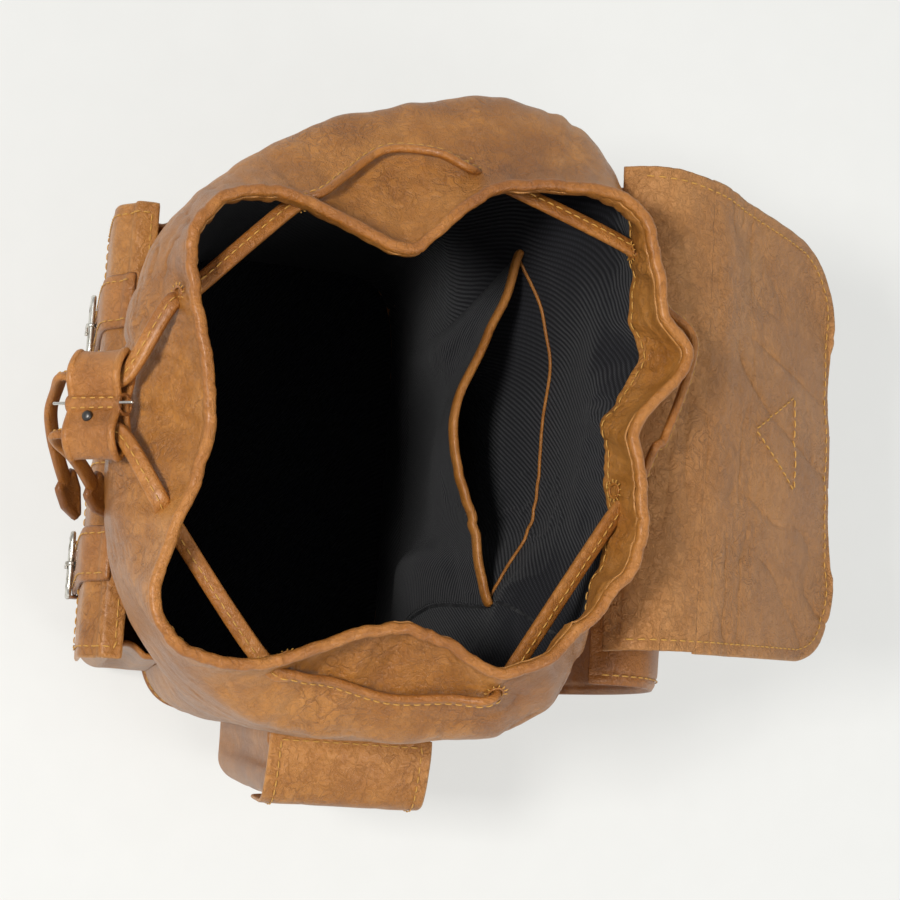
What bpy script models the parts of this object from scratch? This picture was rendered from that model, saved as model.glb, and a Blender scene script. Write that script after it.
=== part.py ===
"""Leather drawstring backpack, standing open, with its flap thrown back.

Metres, +Z up. The origin is the middle of the base, on the surface it stands on.
-Y is the front, with two buckled pockets. +Y is the back, with the flap and the shoulder straps.
Sizes below are millimetres, and MM turns them into metres.
"""
import math

import bmesh
import bpy
import numpy as np
from mathutils import Matrix, Vector

MM = 0.001
GAP = 0.3
MERGE = 0.002

# Body, lower down: half widths of the walls: (z, side, front, back, squareness)
SECTIONS = (
    (0.0, 143.0, 74.0, 76.0, 6.0),
    (60.0, 148.0, 80.0, 80.0, 5.4),
    (130.0, 153.0, 89.0, 86.0, 4.8),
    (200.0, 156.0, 98.0, 91.0, 4.2),
    (270.0, 160.0, 128.0, 100.0, 3.4),
)
# Bulge: the widest section, below the gathers, as (angle in degrees, radius)
BULGE = (
    (-175, 155), (-157, 147), (-140, 143), (-125, 143), (-108, 138), (-90, 133), (-72, 142),
    (-58, 154), (-45, 163), (-25, 173), (-10, 172), (12, 171), (25, 175), (38, 167), (62, 124),
    (90, 108), (118, 130), (136, 168), (148, 182), (157, 180), (168, 171), (177, 161),
)
BULGE_CENTRE = (-8.0, 0.0)
BULGE_FROM = 170.0
BULGE_Z = 270.0
# Mouth: the wall's top edge as (angle in degrees, radius), in at the gathers and out at the corners
MOUTH = (
    (-168, 82), (-151, 106), (-138, 135), (-125, 144), (-113, 129), (-98, 110), (-80, 107),
    (-66, 123), (-48, 163), (-32, 148), (-16, 113), (-3, 104), (8, 110), (22, 130), (45, 127),
    (62, 126), (76, 117), (88, 108), (97, 113), (108, 141), (118, 136), (138, 155), (152, 139),
    (167, 119), (180, 92),
)
MOUTH_CENTRE = (6.0, 4.0)
WALL_TOP = 344.0
GATHER_FROM = 284.0

LEATHER = 2.2
BASE_THICK = 2.0
BOARD_THICK = 2.9
LINING_THICK = 0.8
LINING_GAP = 0.6
FACING_THICK = 1.2
BINDING_RADIUS = 3.1
SEAM_RIGHT = (28.0, 45.0)
SEAM_LEFT = (152.0, 153.0)
WALL_LEVELS = (2.3, 60.0, 130.0, 200.0, 236.0, 270.0, 292.0, 305.0, 318.0, 331.0, 344.0)
LINING_TOP = 304.7
BACK_COLUMNS = 20
SIDE_COLUMNS = 40

# Drawstring: a strap folded to a cord, through eight holes at these angles
CORD_RADIUS = 3.0
HOLE_CLEARANCE = 0.5
HOLE_Z = 325.0
HOLE_ANGLES = (-110.0, -149.0, 167.5, 128.8, 73.0, 22.6, -24.5, -64.0)
CORD_STANDOFF = 4.2

# Slip pocket on the back wall inside
SLIP_COLUMNS = 19
SLIP_LEVELS = (60.0, 130.0, 200.0, 236.0)
SLIP_GAPE = 50.0
SLIP_SWELL = 1.6
SLIP_BINDING = 2.1
# The lining hangs loose at the two back corners: (angle, spread, depth)
LINING_SLACK = ((142.0, 17.0, 32.0), (40.0, 17.0, 36.0))

# Slider: a keeper with two channels. It points out of the front and down.
SLIDER_CENTRE = (11.0, -146.0, 306.0)
SLIDER_SIZE = (52.0, 14.0, 25.0)
SLIDER_TILT = math.radians(50.0)
CHANNEL_OFFSET = 14.0
CHANNEL_RADIUS = 4.6
CHANNEL_END = 16.0
SLIDER_WALL = 2.2
PIN_RADIUS = 0.7
PIN_LENGTH = 43.0
# How far the string runs past its channel, and how far each tail goes on straight before it bends
STRING_PAST = 3.0
TAIL_STRAIGHT = 9.0
TIP_LENGTH = 22.0
TIP_WIDTH = 13.0
TIP_THICK = 5.0
TAIL_ROUTES = {
    "drawstring_tail_left": ((1, -167.5, 281), (10, -168.5, 270), (21, -165.5, 260),
                             (32, -160.5, 251), (41, -155.5, 242)),
    "drawstring_tail_right": ((26.5, -164, 280), (31, -156, 270), (37, -149, 261),
                              (43, -143, 252)),
}

# Front pockets
POCKET_CENTRES = {"left": -63.0, "right": 71.0}
POCKET_WIDTH = 102.0
POCKET_LOW = 24.0
POCKET_HIGH = 190.0
POCKET_FRONT_LOW = 112.0
POCKET_FRONT_HIGH = 127.0
POCKET_ROUND = 12.0
WALL_GAP = 1.1
FLAP_WIDTH = 106.0
FLAP_SEWN = 206.0
# How far a flap's sewn edge stands off the wall, and its fold off the pocket's face
SEWN_OUT = 1.6
LIP_OUT = 3.2
FLAP_THICK = 2.0
STRAP_WIDTH = 27.0
STRAP_THICK = 2.2
BUCKLE_WIRE = 1.5
BUCKLE_HEIGHT = 26.0

# Side pockets
SIDE_POCKET_WIDTH = 84.0
SIDE_POCKET_Y = 19.0
SIDE_POCKET_LOW = 24.0
SIDE_POCKET_HIGH = 168.0
SIDE_POCKET_OUT = {"left": 168.0, "right": 190.0}
SIDE_FLAP_SEWN = 184.0

# Main flap: it leaves the back seam, bends at the rim and hangs back
FLAP_X = (-147.0, 107.0)
NECK_START = (121.5, 297.0)
NECK_HINGE = (144.0, 303.0)
FOLD_HINGE = (192.0, 279.0)
FLAP_END = (290.0, 194.0)
FLAP_CORNER = 45.0
# Half the gap between two lengths of the flap, and how far the strap hangs beyond its end
FLAP_SHORT = 0.5
CLOSURE_OUT = 5.0
CLOSURE_WIDTH = 30.0
CLOSURE_LENGTH = 118.0
# The strap's sewn head: how far its point and its wide end lie from the strap's fold, half width
CLOSURE_HEAD = (80.0, 29.0, 28.0)

# Shoulder straps: centre line in (y, z), from the yoke to the lower strap
SHOULDER_X = {"left": -122.0, "right": 101.0}
SHOULDER_WIDTH = 42.0
SHOULDER_THICK = 6.0
SHOULDER_LINE = ((124, 262), (138, 267), (156, 258), (172, 228), (178, 190), (174, 150),
                 (160, 112))
LOWER_WIDTH = 22.0
LOWER_THICK = 2.2
LOWER_LINE = ((160.5, 108.2), (146, 76), (124, 46), (100, 26), (80.5, 16))
YOKE_COLUMNS = (5, 14)
YOKE_LEVELS = (236.0, 270.0)
HANDLE_RADIUS = 4.0
HANDLE_X = -10.0
HANDLE_Z = 268.0
HANDLE_OUT = 8.4
HANDLE_LOOP = ((-48, 3), (-40, -14), (-20, -24), (0, -27), (20, -24), (40, -14), (48, 3))

COLOURS = {
    "tan": (0.44, 0.205, 0.073, 1.0), "tan_dark": (0.30, 0.13, 0.045, 1.0),
    "rim": (0.50, 0.22, 0.065, 1.0), "navy": (0.012, 0.014, 0.025, 1.0),
    "board": (0.30, 0.24, 0.17, 1.0), "silver": (0.55, 0.54, 0.50, 1.0),
}


def material(name, colour, roughness=0.5, metallic=0.0):
    """A Principled material of the given colour."""
    made = bpy.data.materials.new(name)
    made.use_nodes = True
    shader = made.node_tree.nodes["Principled BSDF"]
    shader.inputs["Base Color"].default_value = COLOURS[colour]
    shader.inputs["Roughness"].default_value = roughness
    shader.inputs["Metallic"].default_value = metallic
    made.diffuse_color = COLOURS[colour]
    return made


def finish(name, mesh, colour, parts, origin=(0.0, 0.0, 0.0)):
    """Puts a mesh, in millimetres, into the scene as a named part in metres.

    A moving part's origin is a point on its joint's axis.
    """
    mesh.transform(Matrix.Scale(MM, 4) @ Matrix.Translation(-Vector(origin)))
    metal = colour == "silver"
    mesh.materials.clear()
    mesh.materials.append(material(name, colour, 0.3 if metal else 0.55, 1.0 if metal else 0.0))
    part = bpy.data.objects.new(name, mesh)
    part.location = Vector(origin) * MM
    parts.objects.link(part)
    return part


def mesh_from(work, name):
    """Closes a bmesh into a mesh, with its doubles merged and its faces pointing out."""
    bmesh.ops.remove_doubles(work, verts=work.verts, dist=MERGE)
    bmesh.ops.recalc_face_normals(work, faces=work.faces)
    mesh = bpy.data.meshes.new(name)
    work.to_mesh(mesh)
    work.free()
    return mesh


def mesh_from_curve(data, name):
    """Makes a curve's evaluated shape a closed mesh, and removes the curve."""
    holder = bpy.data.objects.new(name + "_curve", data)
    bpy.context.scene.collection.objects.link(holder)
    graph = bpy.context.evaluated_depsgraph_get()
    mesh = bpy.data.meshes.new_from_object(holder.evaluated_get(graph))
    bpy.data.objects.remove(holder)
    work = bmesh.new()
    work.from_mesh(mesh)
    return mesh_from(work, name)


def smooth_path(points, spacing):
    """Points at an even spacing along a smooth curve through the given points."""
    knots = [Vector(p) for p in points]
    knots = [knots[0] * 2 - knots[1], *knots, knots[-1] * 2 - knots[-2]]
    steps = 16
    dense = []
    for p0, p1, p2, p3 in zip(knots, knots[1:], knots[2:], knots[3:]):
        for step in range(steps):
            t = step / steps
            dense.append(0.5 * (2 * p1 + (p2 - p0) * t + (2 * p0 - 5 * p1 + 4 * p2 - p3) * t * t
                                + (3 * p1 - 3 * p2 + p3 - p0) * t ** 3))
    dense.append(knots[-2])
    along = np.concatenate([[0], np.cumsum([(b - a).length for a, b in zip(dense, dense[1:])])])
    wanted = np.linspace(0, along[-1], max(2, round(along[-1] / spacing)) + 1)
    axes = [np.interp(wanted, along, [p[k] for p in dense]) for k in range(3)]
    return [Vector(p) for p in zip(*axes)]


def tube(points, radius, closed=False, resolution=2):
    """A round tube along the given points."""
    data = bpy.data.curves.new("tube", "CURVE")
    data.dimensions = "3D"
    data.bevel_depth = radius
    data.bevel_resolution = resolution
    data.use_fill_caps = not closed
    spline = data.splines.new("POLY")
    spline.points.add(len(points) - 1)
    for point, place in zip(spline.points, points):
        point.co = (*place, 1.0)
    spline.use_cyclic_u = closed
    return mesh_from_curve(data, "tube")


def plate(outlines, thick):
    """A flat plate in the XY plane, centred on it, from one outline and any holes."""
    data = bpy.data.curves.new("plate", "CURVE")
    data.dimensions = "2D"
    data.fill_mode = "BOTH"
    data.extrude = thick / 2
    for outline in outlines:
        spline = data.splines.new("POLY")
        spline.points.add(len(outline) - 1)
        for point, place in zip(spline.points, outline):
            point.co = (place[0], place[1], 0.0, 1.0)
        spline.use_cyclic_u = True
    return mesh_from_curve(data, "plate")


def oval(cx, half_x, half_y, steps=16):
    """An ellipse's outline."""
    turns = [2 * math.pi * k / steps for k in range(steps)]
    return [(cx + half_x * math.cos(a), half_y * math.sin(a)) for a in turns]


def rounded_box(width, height, radius, steps=3):
    """A rectangle's outline with round corners."""
    outline = []
    for turn, (sx, sy) in enumerate(((1, 1), (-1, 1), (-1, -1), (1, -1))):
        for k in range(steps + 1):
            a = math.pi / 2 * (turn + k / steps)
            outline.append((sx * (width / 2 - radius) + radius * math.cos(a),
                            sy * (height / 2 - radius) + radius * math.sin(a)))
    return outline


def shifted(line, distance):
    """A (y, z) line moved sideways, to the left of its run, by a distance."""
    line = [Vector(p) for p in line]
    moved = []
    for i, point in enumerate(line):
        before = (point - line[i - 1]).normalized() if i else Vector((0, 0))
        after = (line[i + 1] - point).normalized() if i + 1 < len(line) else Vector((0, 0))
        run = (before + after).normalized()
        moved.append(point + Vector((run.y, -run.x)) * distance)
    return moved


def ribbon(line, x_range, thick, x_steps=1, corner=0.0):
    """A sheet of one thickness along a line in (y, z), between two x values.

    With a corner radius, its far end is rounded in plan.
    """
    line = [Vector((y, z)) for y, z in line]
    normals = []
    for i in range(len(line)):
        run = line[min(i + 1, len(line) - 1)] - line[max(i - 1, 0)]
        normals.append(Vector((-run.y, run.x)).normalized())
    along = [0.0]
    for a, b in zip(line, line[1:]):
        along.append(along[-1] + (b - a).length)
    work = bmesh.new()
    sheets = []
    for side in (0.5, -0.5):
        rows = []
        for point, normal, s in zip(line, normals, along):
            left = corner - (along[-1] - s)
            inset = corner - math.sqrt(max(corner ** 2 - left ** 2, 0.0)) if left > 0 else 0.0
            place = point + normal * thick * side
            xs = np.linspace(x_range[0] + inset, x_range[1] - inset, x_steps + 1)
            rows.append([work.verts.new((x, place.x, place.y)) for x in xs])
        sheets.append(rows)
    close_sheets(work, *sheets)
    return mesh_from(work, "ribbon")


def close_sheets(work, outer, inner, around=False):
    """Faces two matching grids of vertices and joins them along their edges."""
    for grid in (outer, inner):
        for a, b in zip(grid, grid[1:]):
            pairs = list(zip(a, a[1:] + ([a[0]] if around else [])))
            others = list(zip(b, b[1:] + ([b[0]] if around else [])))
            for (p, q), (r, s) in zip(pairs, others):
                work.faces.new((p, q, s))
                work.faces.new((p, s, r))
    edges = [(outer[0], inner[0]), (outer[-1], inner[-1])]
    if not around:
        edges += [([row[0] for row in outer], [row[0] for row in inner]),
                  ([row[-1] for row in outer], [row[-1] for row in inner])]
    for line, other in edges:
        wrap = 1 if around else 0
        count = len(line) - 1 + wrap
        for i in range(count):
            j = (i + 1) % len(line)
            work.faces.new((line[i], line[j], other[j], other[i]))


def cut(part, cutters, store):
    """Cuts a part with closed meshes, each a Boolean modifier."""
    for number, mesh in enumerate(cutters):
        mesh.transform(Matrix.Scale(MM, 4))
        cutter = bpy.data.objects.new(f"{part.name}_cutter_{number}", mesh)
        cutter.hide_render = True
        cutter.display_type = "WIRE"
        store.objects.link(cutter)
        hole = part.modifiers.new(f"hole_{number}", "BOOLEAN")
        hole.operation = "DIFFERENCE"
        hole.solver = "EXACT"
        hole.object = cutter


class RoundCurve:
    """A smooth closed curve through (angle in degrees, radius) points."""

    def __init__(self, table):
        rows = sorted(table)
        turns = np.array([a for a, _ in rows], dtype=float)
        radii = np.array([r for _, r in rows], dtype=float)
        self.angles = np.concatenate([turns[-3:] - 360, turns, turns[:3] + 360])
        self.radii = np.concatenate([radii[-3:], radii, radii[:3]])

    def __call__(self, degrees):
        """The radius at an angle, by a cubic between the two nearest points."""
        degrees = (degrees + 180.0) % 360.0 - 180.0
        i = int(np.searchsorted(self.angles, degrees, side="right")) - 1
        a, r = self.angles, self.radii
        width = a[i + 1] - a[i]
        t = (degrees - a[i]) / width
        start = (r[i + 1] - r[i - 1]) / (a[i + 1] - a[i - 1]) * width
        end = (r[i + 2] - r[i]) / (a[i + 2] - a[i]) * width
        return ((2 * t ** 3 - 3 * t ** 2 + 1) * r[i] + (t ** 3 - 2 * t ** 2 + t) * start
                + (3 * t ** 2 - 2 * t ** 3) * r[i + 1] + (t ** 3 - t ** 2) * end)


def ease(value, low, high):
    """A smooth step from 0 at low to 1 at high."""
    t = min(max((value - low) / (high - low), 0.0), 1.0)
    return t * t * (3 - 2 * t)


class Body:
    """The walls' shape: a radius for each angle and height."""

    def __init__(self):
        self.levels = np.array([row[0] for row in SECTIONS])
        self.rows = np.array([row[1:] for row in SECTIONS])
        self.bulge = RoundCurve(BULGE)
        self.mouth = RoundCurve(MOUTH)

    def centre(self, z):
        """The middle that radii are measured from at a height."""
        swell, gather = ease(z, BULGE_FROM, BULGE_Z), ease(z, GATHER_FROM, WALL_TOP)
        return tuple(b * swell * (1 - gather) + m * gather
                     for b, m in zip(BULGE_CENTRE, MOUTH_CENTRE))

    def radius(self, degrees, z):
        """The outer wall's radius at an angle and height."""
        side, front, back, square = (float(np.interp(z, self.levels, self.rows[:, k]))
                                     for k in range(4))
        turn = math.radians(degrees)
        c, s = math.cos(turn), math.sin(turn)
        depth = front if s < 0 else back
        low = (abs(c / side) ** square + abs(s / depth) ** square) ** (-1 / square)
        swell, gather = ease(z, BULGE_FROM, BULGE_Z), ease(z, GATHER_FROM, WALL_TOP)
        wide = low + (self.bulge(degrees) - low) * swell
        return wide + (self.mouth(degrees) - wide) * gather

    def point(self, degrees, z, out=0.0):
        """A point on the outer wall, moved out along its radius."""
        cx, cy = self.centre(z)
        r = self.radius(degrees, z) + out
        turn = math.radians(degrees)
        return Vector((cx + r * math.cos(turn), cy + r * math.sin(turn), z))

    def off(self, degrees, z, out, inset=0.0):
        """A point moved off the wall along its normal, from a surface inside it by an inset."""
        step = 1.0
        here = self.point(degrees, z, -inset)
        across = self.point(degrees + step, z, -inset) - self.point(degrees - step, z, -inset)
        up = self.point(degrees, z + step, -inset) - self.point(degrees, z - step, -inset)
        return here + across.cross(up).normalized() * out

    def between_levels(self, z, place):
        """A place on the wall's flat facets: straight between the levels above and below."""
        high = next(level for level in WALL_LEVELS[1:] if level >= z)
        low = WALL_LEVELS[WALL_LEVELS.index(high) - 1]
        share = (z - low) / (high - low)
        return place(low) * (1 - share) + place(high) * share

    def front(self, x, z):
        """The outer wall's y at the front, at one x."""
        def place(level):
            walls = [self.point(a, level) for a in range(-165, -14, 3)]
            return float(np.interp(x, [p.x for p in walls], [p.y for p in walls]))
        return self.between_levels(z, place)

    def side(self, y, z, sign):
        """The outer wall's x at one side, at one y."""
        def place(level):
            middle = 0 if sign > 0 else 180
            walls = sorted((self.point(middle + a, level) for a in range(-72, 73, 3)),
                           key=lambda p: p.y)
            return float(np.interp(y, [p.y for p in walls], [p.x for p in walls]))
        return self.between_levels(z, place)


def column_angles(z):
    """The angles of the body's columns at a height: the back panel's first, then the rest."""
    share = z / WALL_TOP
    right = SEAM_RIGHT[0] + (SEAM_RIGHT[1] - SEAM_RIGHT[0]) * share
    left = SEAM_LEFT[0] + (SEAM_LEFT[1] - SEAM_LEFT[0]) * share
    back = np.linspace(right, left, BACK_COLUMNS + 1)
    return np.concatenate([back, np.linspace(left, right + 360.0, SIDE_COLUMNS + 1)[1:]])


def lining_slack(degrees, z):
    """How far the lining hangs inside the wall at the back corners."""
    height = ease(z, 20.0, 150.0) * (1 - ease(z, 250.0, LINING_TOP))
    turned = degrees % 360.0
    return height * sum(depth * math.exp(-((turned - angle) / spread) ** 2)
                        for angle, spread, depth in LINING_SLACK)


def wall_panel(body, back):
    """One wall panel between the two seams, as a closed sheet."""
    work = bmesh.new()
    sheets = []
    for inset in (0.0, LEATHER):
        rows = []
        for z in WALL_LEVELS:
            angles = column_angles(z)
            angles = angles[:BACK_COLUMNS + 1] if back else angles[BACK_COLUMNS:]
            row = [body.point(a, z, -inset) for a in angles]
            row[0] = row[0] + (row[1] - row[0]).normalized() * GAP
            row[-1] = row[-1] + (row[-2] - row[-1]).normalized() * GAP
            rows.append([work.verts.new(p) for p in row])
        sheets.append(rows)
    close_sheets(work, *sheets)
    return mesh_from(work, "panel")


def ring_wall(body, levels, outer, inner):
    """A layer all round the body between two insets."""
    work = bmesh.new()
    sheets = []
    for inset in (outer, inner):
        sheets.append([[work.verts.new(body.point(a, z, -inset)) for a in column_angles(z)[:-1]]
                       for z in levels])
    close_sheets(work, *sheets, around=True)
    return mesh_from(work, "ring")


def base_plate(body, low, thick, inset):
    """A flat plate of the base's outline."""
    outline = [body.point(a, 0.0, -inset)[:2] for a in column_angles(0.0)[:-1]]
    mesh = plate([outline], thick)
    mesh.transform(Matrix.Translation((0, 0, low + thick / 2)))
    return mesh


def lining_bag(body, floor):
    """The lining: a thin bag with a floor, open at the top."""
    outer_inset = LEATHER + LINING_GAP
    levels = [z for z in WALL_LEVELS[1:] if z < LINING_TOP] + [LINING_TOP]
    work = bmesh.new()
    skins = []
    for inset, low in ((outer_inset, floor), (outer_inset + LINING_THICK, floor + LINING_THICK)):
        rows = [[work.verts.new(body.point(a, z, -inset - lining_slack(a, z)))
                 for a in column_angles(z)[:-1]] for z in (low, *levels)]
        for a, b in zip(rows, rows[1:]):
            for i in range(len(a)):
                j = (i + 1) % len(a)
                work.faces.new((a[i], a[j], b[j]))
                work.faces.new((a[i], b[j], b[i]))
        work.faces.new(rows[0])
        skins.append(rows[-1])
    for i in range(len(skins[0])):
        j = (i + 1) % len(skins[0])
        work.faces.new((skins[0][i], skins[0][j], skins[1][j], skins[1][i]))
    return mesh_from(work, "lining")


def slip_pocket(body, parts):
    """The slip pocket on the back wall inside: a sheet that gapes, and its bound edge."""
    inset = LEATHER + LINING_GAP + LINING_THICK + LINING_GAP

    def wall(column, z, extra):
        angle = column_angles(z)[column]
        return body.point(angle, z, -(inset + extra + lining_slack(angle, z)))

    def place(column, z, extra):
        spot = wall(column, z, extra)
        right, left = wall(0, z, extra).x, wall(SLIP_COLUMNS - 1, z, extra).x
        rise = (z - SLIP_LEVELS[0]) / (SLIP_LEVELS[-1] - SLIP_LEVELS[0])
        bow = max(math.sin(math.pi * (right - spot.x) / (right - left)), 0.0)
        spot.y -= SLIP_GAPE * bow * min(rise, 1.0) ** SLIP_SWELL
        return spot

    work = bmesh.new()
    sheets = [[[work.verts.new(place(k, z, extra)) for k in range(SLIP_COLUMNS)]
               for z in SLIP_LEVELS] for extra in (0.0, LINING_THICK)]
    close_sheets(work, *sheets)
    finish("slip_pocket", mesh_from(work, "slip_pocket"), "navy", parts)
    top = SLIP_LEVELS[-1] + GAP + SLIP_BINDING + 0.1
    edge = [place(k, top, SLIP_BINDING + GAP) for k in range(SLIP_COLUMNS)]
    finish("slip_pocket_binding", tube(smooth_path(edge, 9.0), SLIP_BINDING), "rim", parts)


def slider_frame():
    """The slider's place: its channels run along local Z, out of the bag and down."""
    turn = Matrix.Rotation(math.pi - SLIDER_TILT, 4, "X")
    return Matrix.Translation(SLIDER_CENTRE) @ turn


def drawstring_route(body):
    """The drawstring's points, from one channel's end, through the holes, to the other."""
    def outside(a, z=HOLE_Z):
        return body.off(a, z, CORD_STANDOFF)

    def inside(a, z=HOLE_Z):
        return body.off(a, z, -CORD_STANDOFF, LEATHER + FACING_THICK + 0.6)

    h = HOLE_ANGLES
    frame = slider_frame()
    half = SLIDER_SIZE[2] / 2
    left, right = -CHANNEL_OFFSET, CHANNEL_OFFSET
    route = [frame @ Vector((left, 0, half + STRING_PAST)), frame @ Vector((left, 0, 0)),
             frame @ Vector((left, 0, -half - 4.0)), outside(h[0] + 11.0), outside(h[0] + 3.0)]
    route += [inside(h[0] - 3.0), inside(h[1] + 3.0)]
    route += [outside(h[1] - 3.0), outside(h[1] - 16.0), outside(-176.0, 323.0),
              outside(h[2] + 3.0)]
    route += [inside(h[2] - 3.0), inside(h[3] + 3.0)]
    route += [outside(h[3] - 3.0), outside(h[3] - 11.0), outside(108.0), outside(98.0),
              outside(87.0), outside(h[4] + 3.0)]
    route += [inside(h[4] - 4.0), inside(h[5] + 3.0)]
    route += [outside(h[5] - 3.0), outside(12.0), outside(0.0), outside(-13.0), outside(h[6] + 3.0)]
    route += [inside(h[6] - 3.0), inside(h[7] + 3.0)]
    route += [outside(h[7] - 3.0), outside(h[7] - 10.0), frame @ Vector((right, 0, -half - 4.0)),
              frame @ Vector((right, 0, 0)), frame @ Vector((right, 0, half + STRING_PAST))]
    return route


def drawstring_holes(body, path):
    """Short tubes along the drawstring where it crosses the wall."""
    depth = []
    for p in path:
        cx, cy = body.centre(p.z)
        turn = math.degrees(math.atan2(p.y - cy, p.x - cx))
        depth.append(math.hypot(p.x - cx, p.y - cy) - body.radius(turn, p.z) + LEATHER)
    crossings = [i for i in range(1, len(path)) if depth[i - 1] * depth[i] < 0]
    return [path[max(i - 2, 0):i + 2] for i in crossings]


def slider(parts, store):
    """The leather keeper, with its two channels and the pin along its waist."""
    frame = slider_frame()
    lobes = []
    waist = SLIDER_SIZE[1] * 0.36
    for k in range(40):
        a = 2 * math.pi * k / 40
        x = SLIDER_SIZE[0] / 2 * math.cos(a)
        swell = waist + (SLIDER_SIZE[1] / 2 - waist) * math.sin(min(abs(x) / CHANNEL_OFFSET, 1.0)
                                                                * math.pi / 2)
        end = math.sqrt(max(1 - (abs(x) / (SLIDER_SIZE[0] / 2)) ** 4, 0.0))
        lobes.append((x, math.copysign(swell * end, math.sin(a)) if abs(math.sin(a)) > 1e-6 else 0))
    channels = [oval(side * CHANNEL_OFFSET, CHANNEL_END / 2, CHANNEL_RADIUS)
                for side in (-1, 1)]
    keeper = plate([lobes, *channels], SLIDER_SIZE[2])
    keeper.transform(frame)
    keeper_part = finish("slider", keeper, "tan", parts, SLIDER_CENTRE)
    line = [frame @ Vector((0, 0, z)) for z in (-PIN_LENGTH / 2, PIN_LENGTH / 2)]
    finish("slider_pin", tube(line, PIN_RADIUS), "silver", parts, SLIDER_CENTRE)
    cut(keeper_part, [tube(line, PIN_RADIUS + GAP)], store)


def tails(parts):
    """The two free ends of the drawstring and their folded, pointed tips."""
    frame = slider_frame()
    half = SLIDER_SIZE[2] / 2
    for (name, route), side in zip(TAIL_ROUTES.items(), (-1, 1)):
        start = frame @ Vector((side * CHANNEL_OFFSET, 0, half + STRING_PAST + GAP + 0.2))
        axis = (frame.to_3x3() @ Vector((0, 0, 1))).normalized()
        path = smooth_path([start, start + axis * TAIL_STRAIGHT, *route], 6.0)
        finish(name, tube(path, CORD_RADIUS), "tan", parts)
        direction = (path[-1] - path[-2]).normalized()
        outline = [(-TIP_WIDTH / 2, 0), (TIP_WIDTH / 2, 0), (TIP_WIDTH / 2, TIP_LENGTH * 0.45),
                   (1.0, TIP_LENGTH), (-1.0, TIP_LENGTH), (-TIP_WIDTH / 2, TIP_LENGTH * 0.45)]
        tip = plate([outline], TIP_THICK)
        turn = direction.to_track_quat("Y", "Z").to_matrix().to_4x4()
        tip.transform(Matrix.Translation(path[-1] + direction * (GAP + 0.4)) @ turn)
        finish(name + "_tip", tip, "tan", parts)


def pocket_plan(low, high, wall_at, radius, inset):
    """A pocket's plan in (across, out), from the wall, round two corners and back to it.

    wall_at(across) gives the wall's place. Out is 0 on the pocket's face.
    """
    low, high, out = low + inset, high - inset, -inset
    r = max(radius - inset, 1.0)
    turns = [math.pi / 2 * k / 4 for k in range(5)]
    points = [(low, wall_at(low))]
    points += [(low + r - r * math.cos(t), out - r + r * math.sin(t)) for t in turns]
    points += [(high - r + r * math.sin(t), out - r + r * math.cos(t)) for t in turns]
    points.append((high, wall_at(high)))
    return points


def pocket_cup(plan_at, back_at, levels, thick):
    """An open-topped pocket without a back: a bent sheet with a floor.

    plan_at(z, inset) gives the sheet's plan, and back_at(z, inset) the floor's edge at the wall.
    """
    work = bmesh.new()
    floor = levels[0] + thick
    outer = [[work.verts.new((x, y, z)) for x, y in plan_at(z, 0.0)] for z in levels]
    inner = [[work.verts.new((x, y, z)) for x, y in plan_at(z, thick)]
             for z in (floor, *levels[1:])]
    backs = []
    for grid, inset, z in ((outer, 0.0, levels[0]), (inner, thick, floor)):
        back = [work.verts.new((x, y, z)) for x, y in back_at(z, inset)]
        backs.append([grid[0][-1], *back, grid[0][0]])
        work.faces.new(grid[0] + back)
        for a, b in zip(grid, grid[1:]):
            for i in range(len(a) - 1):
                work.faces.new((a[i], a[i + 1], b[i + 1], b[i]))
    strips = [(outer[-1], inner[-1]), tuple(backs)]
    strips += [([row[end] for row in outer], [row[end] for row in inner]) for end in (0, -1)]
    for line, other in strips:
        for a, b, c, d in zip(line, line[1:], other, other[1:]):
            work.faces.new((a, b, d, c))
    return mesh_from(work, "pocket")


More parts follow.
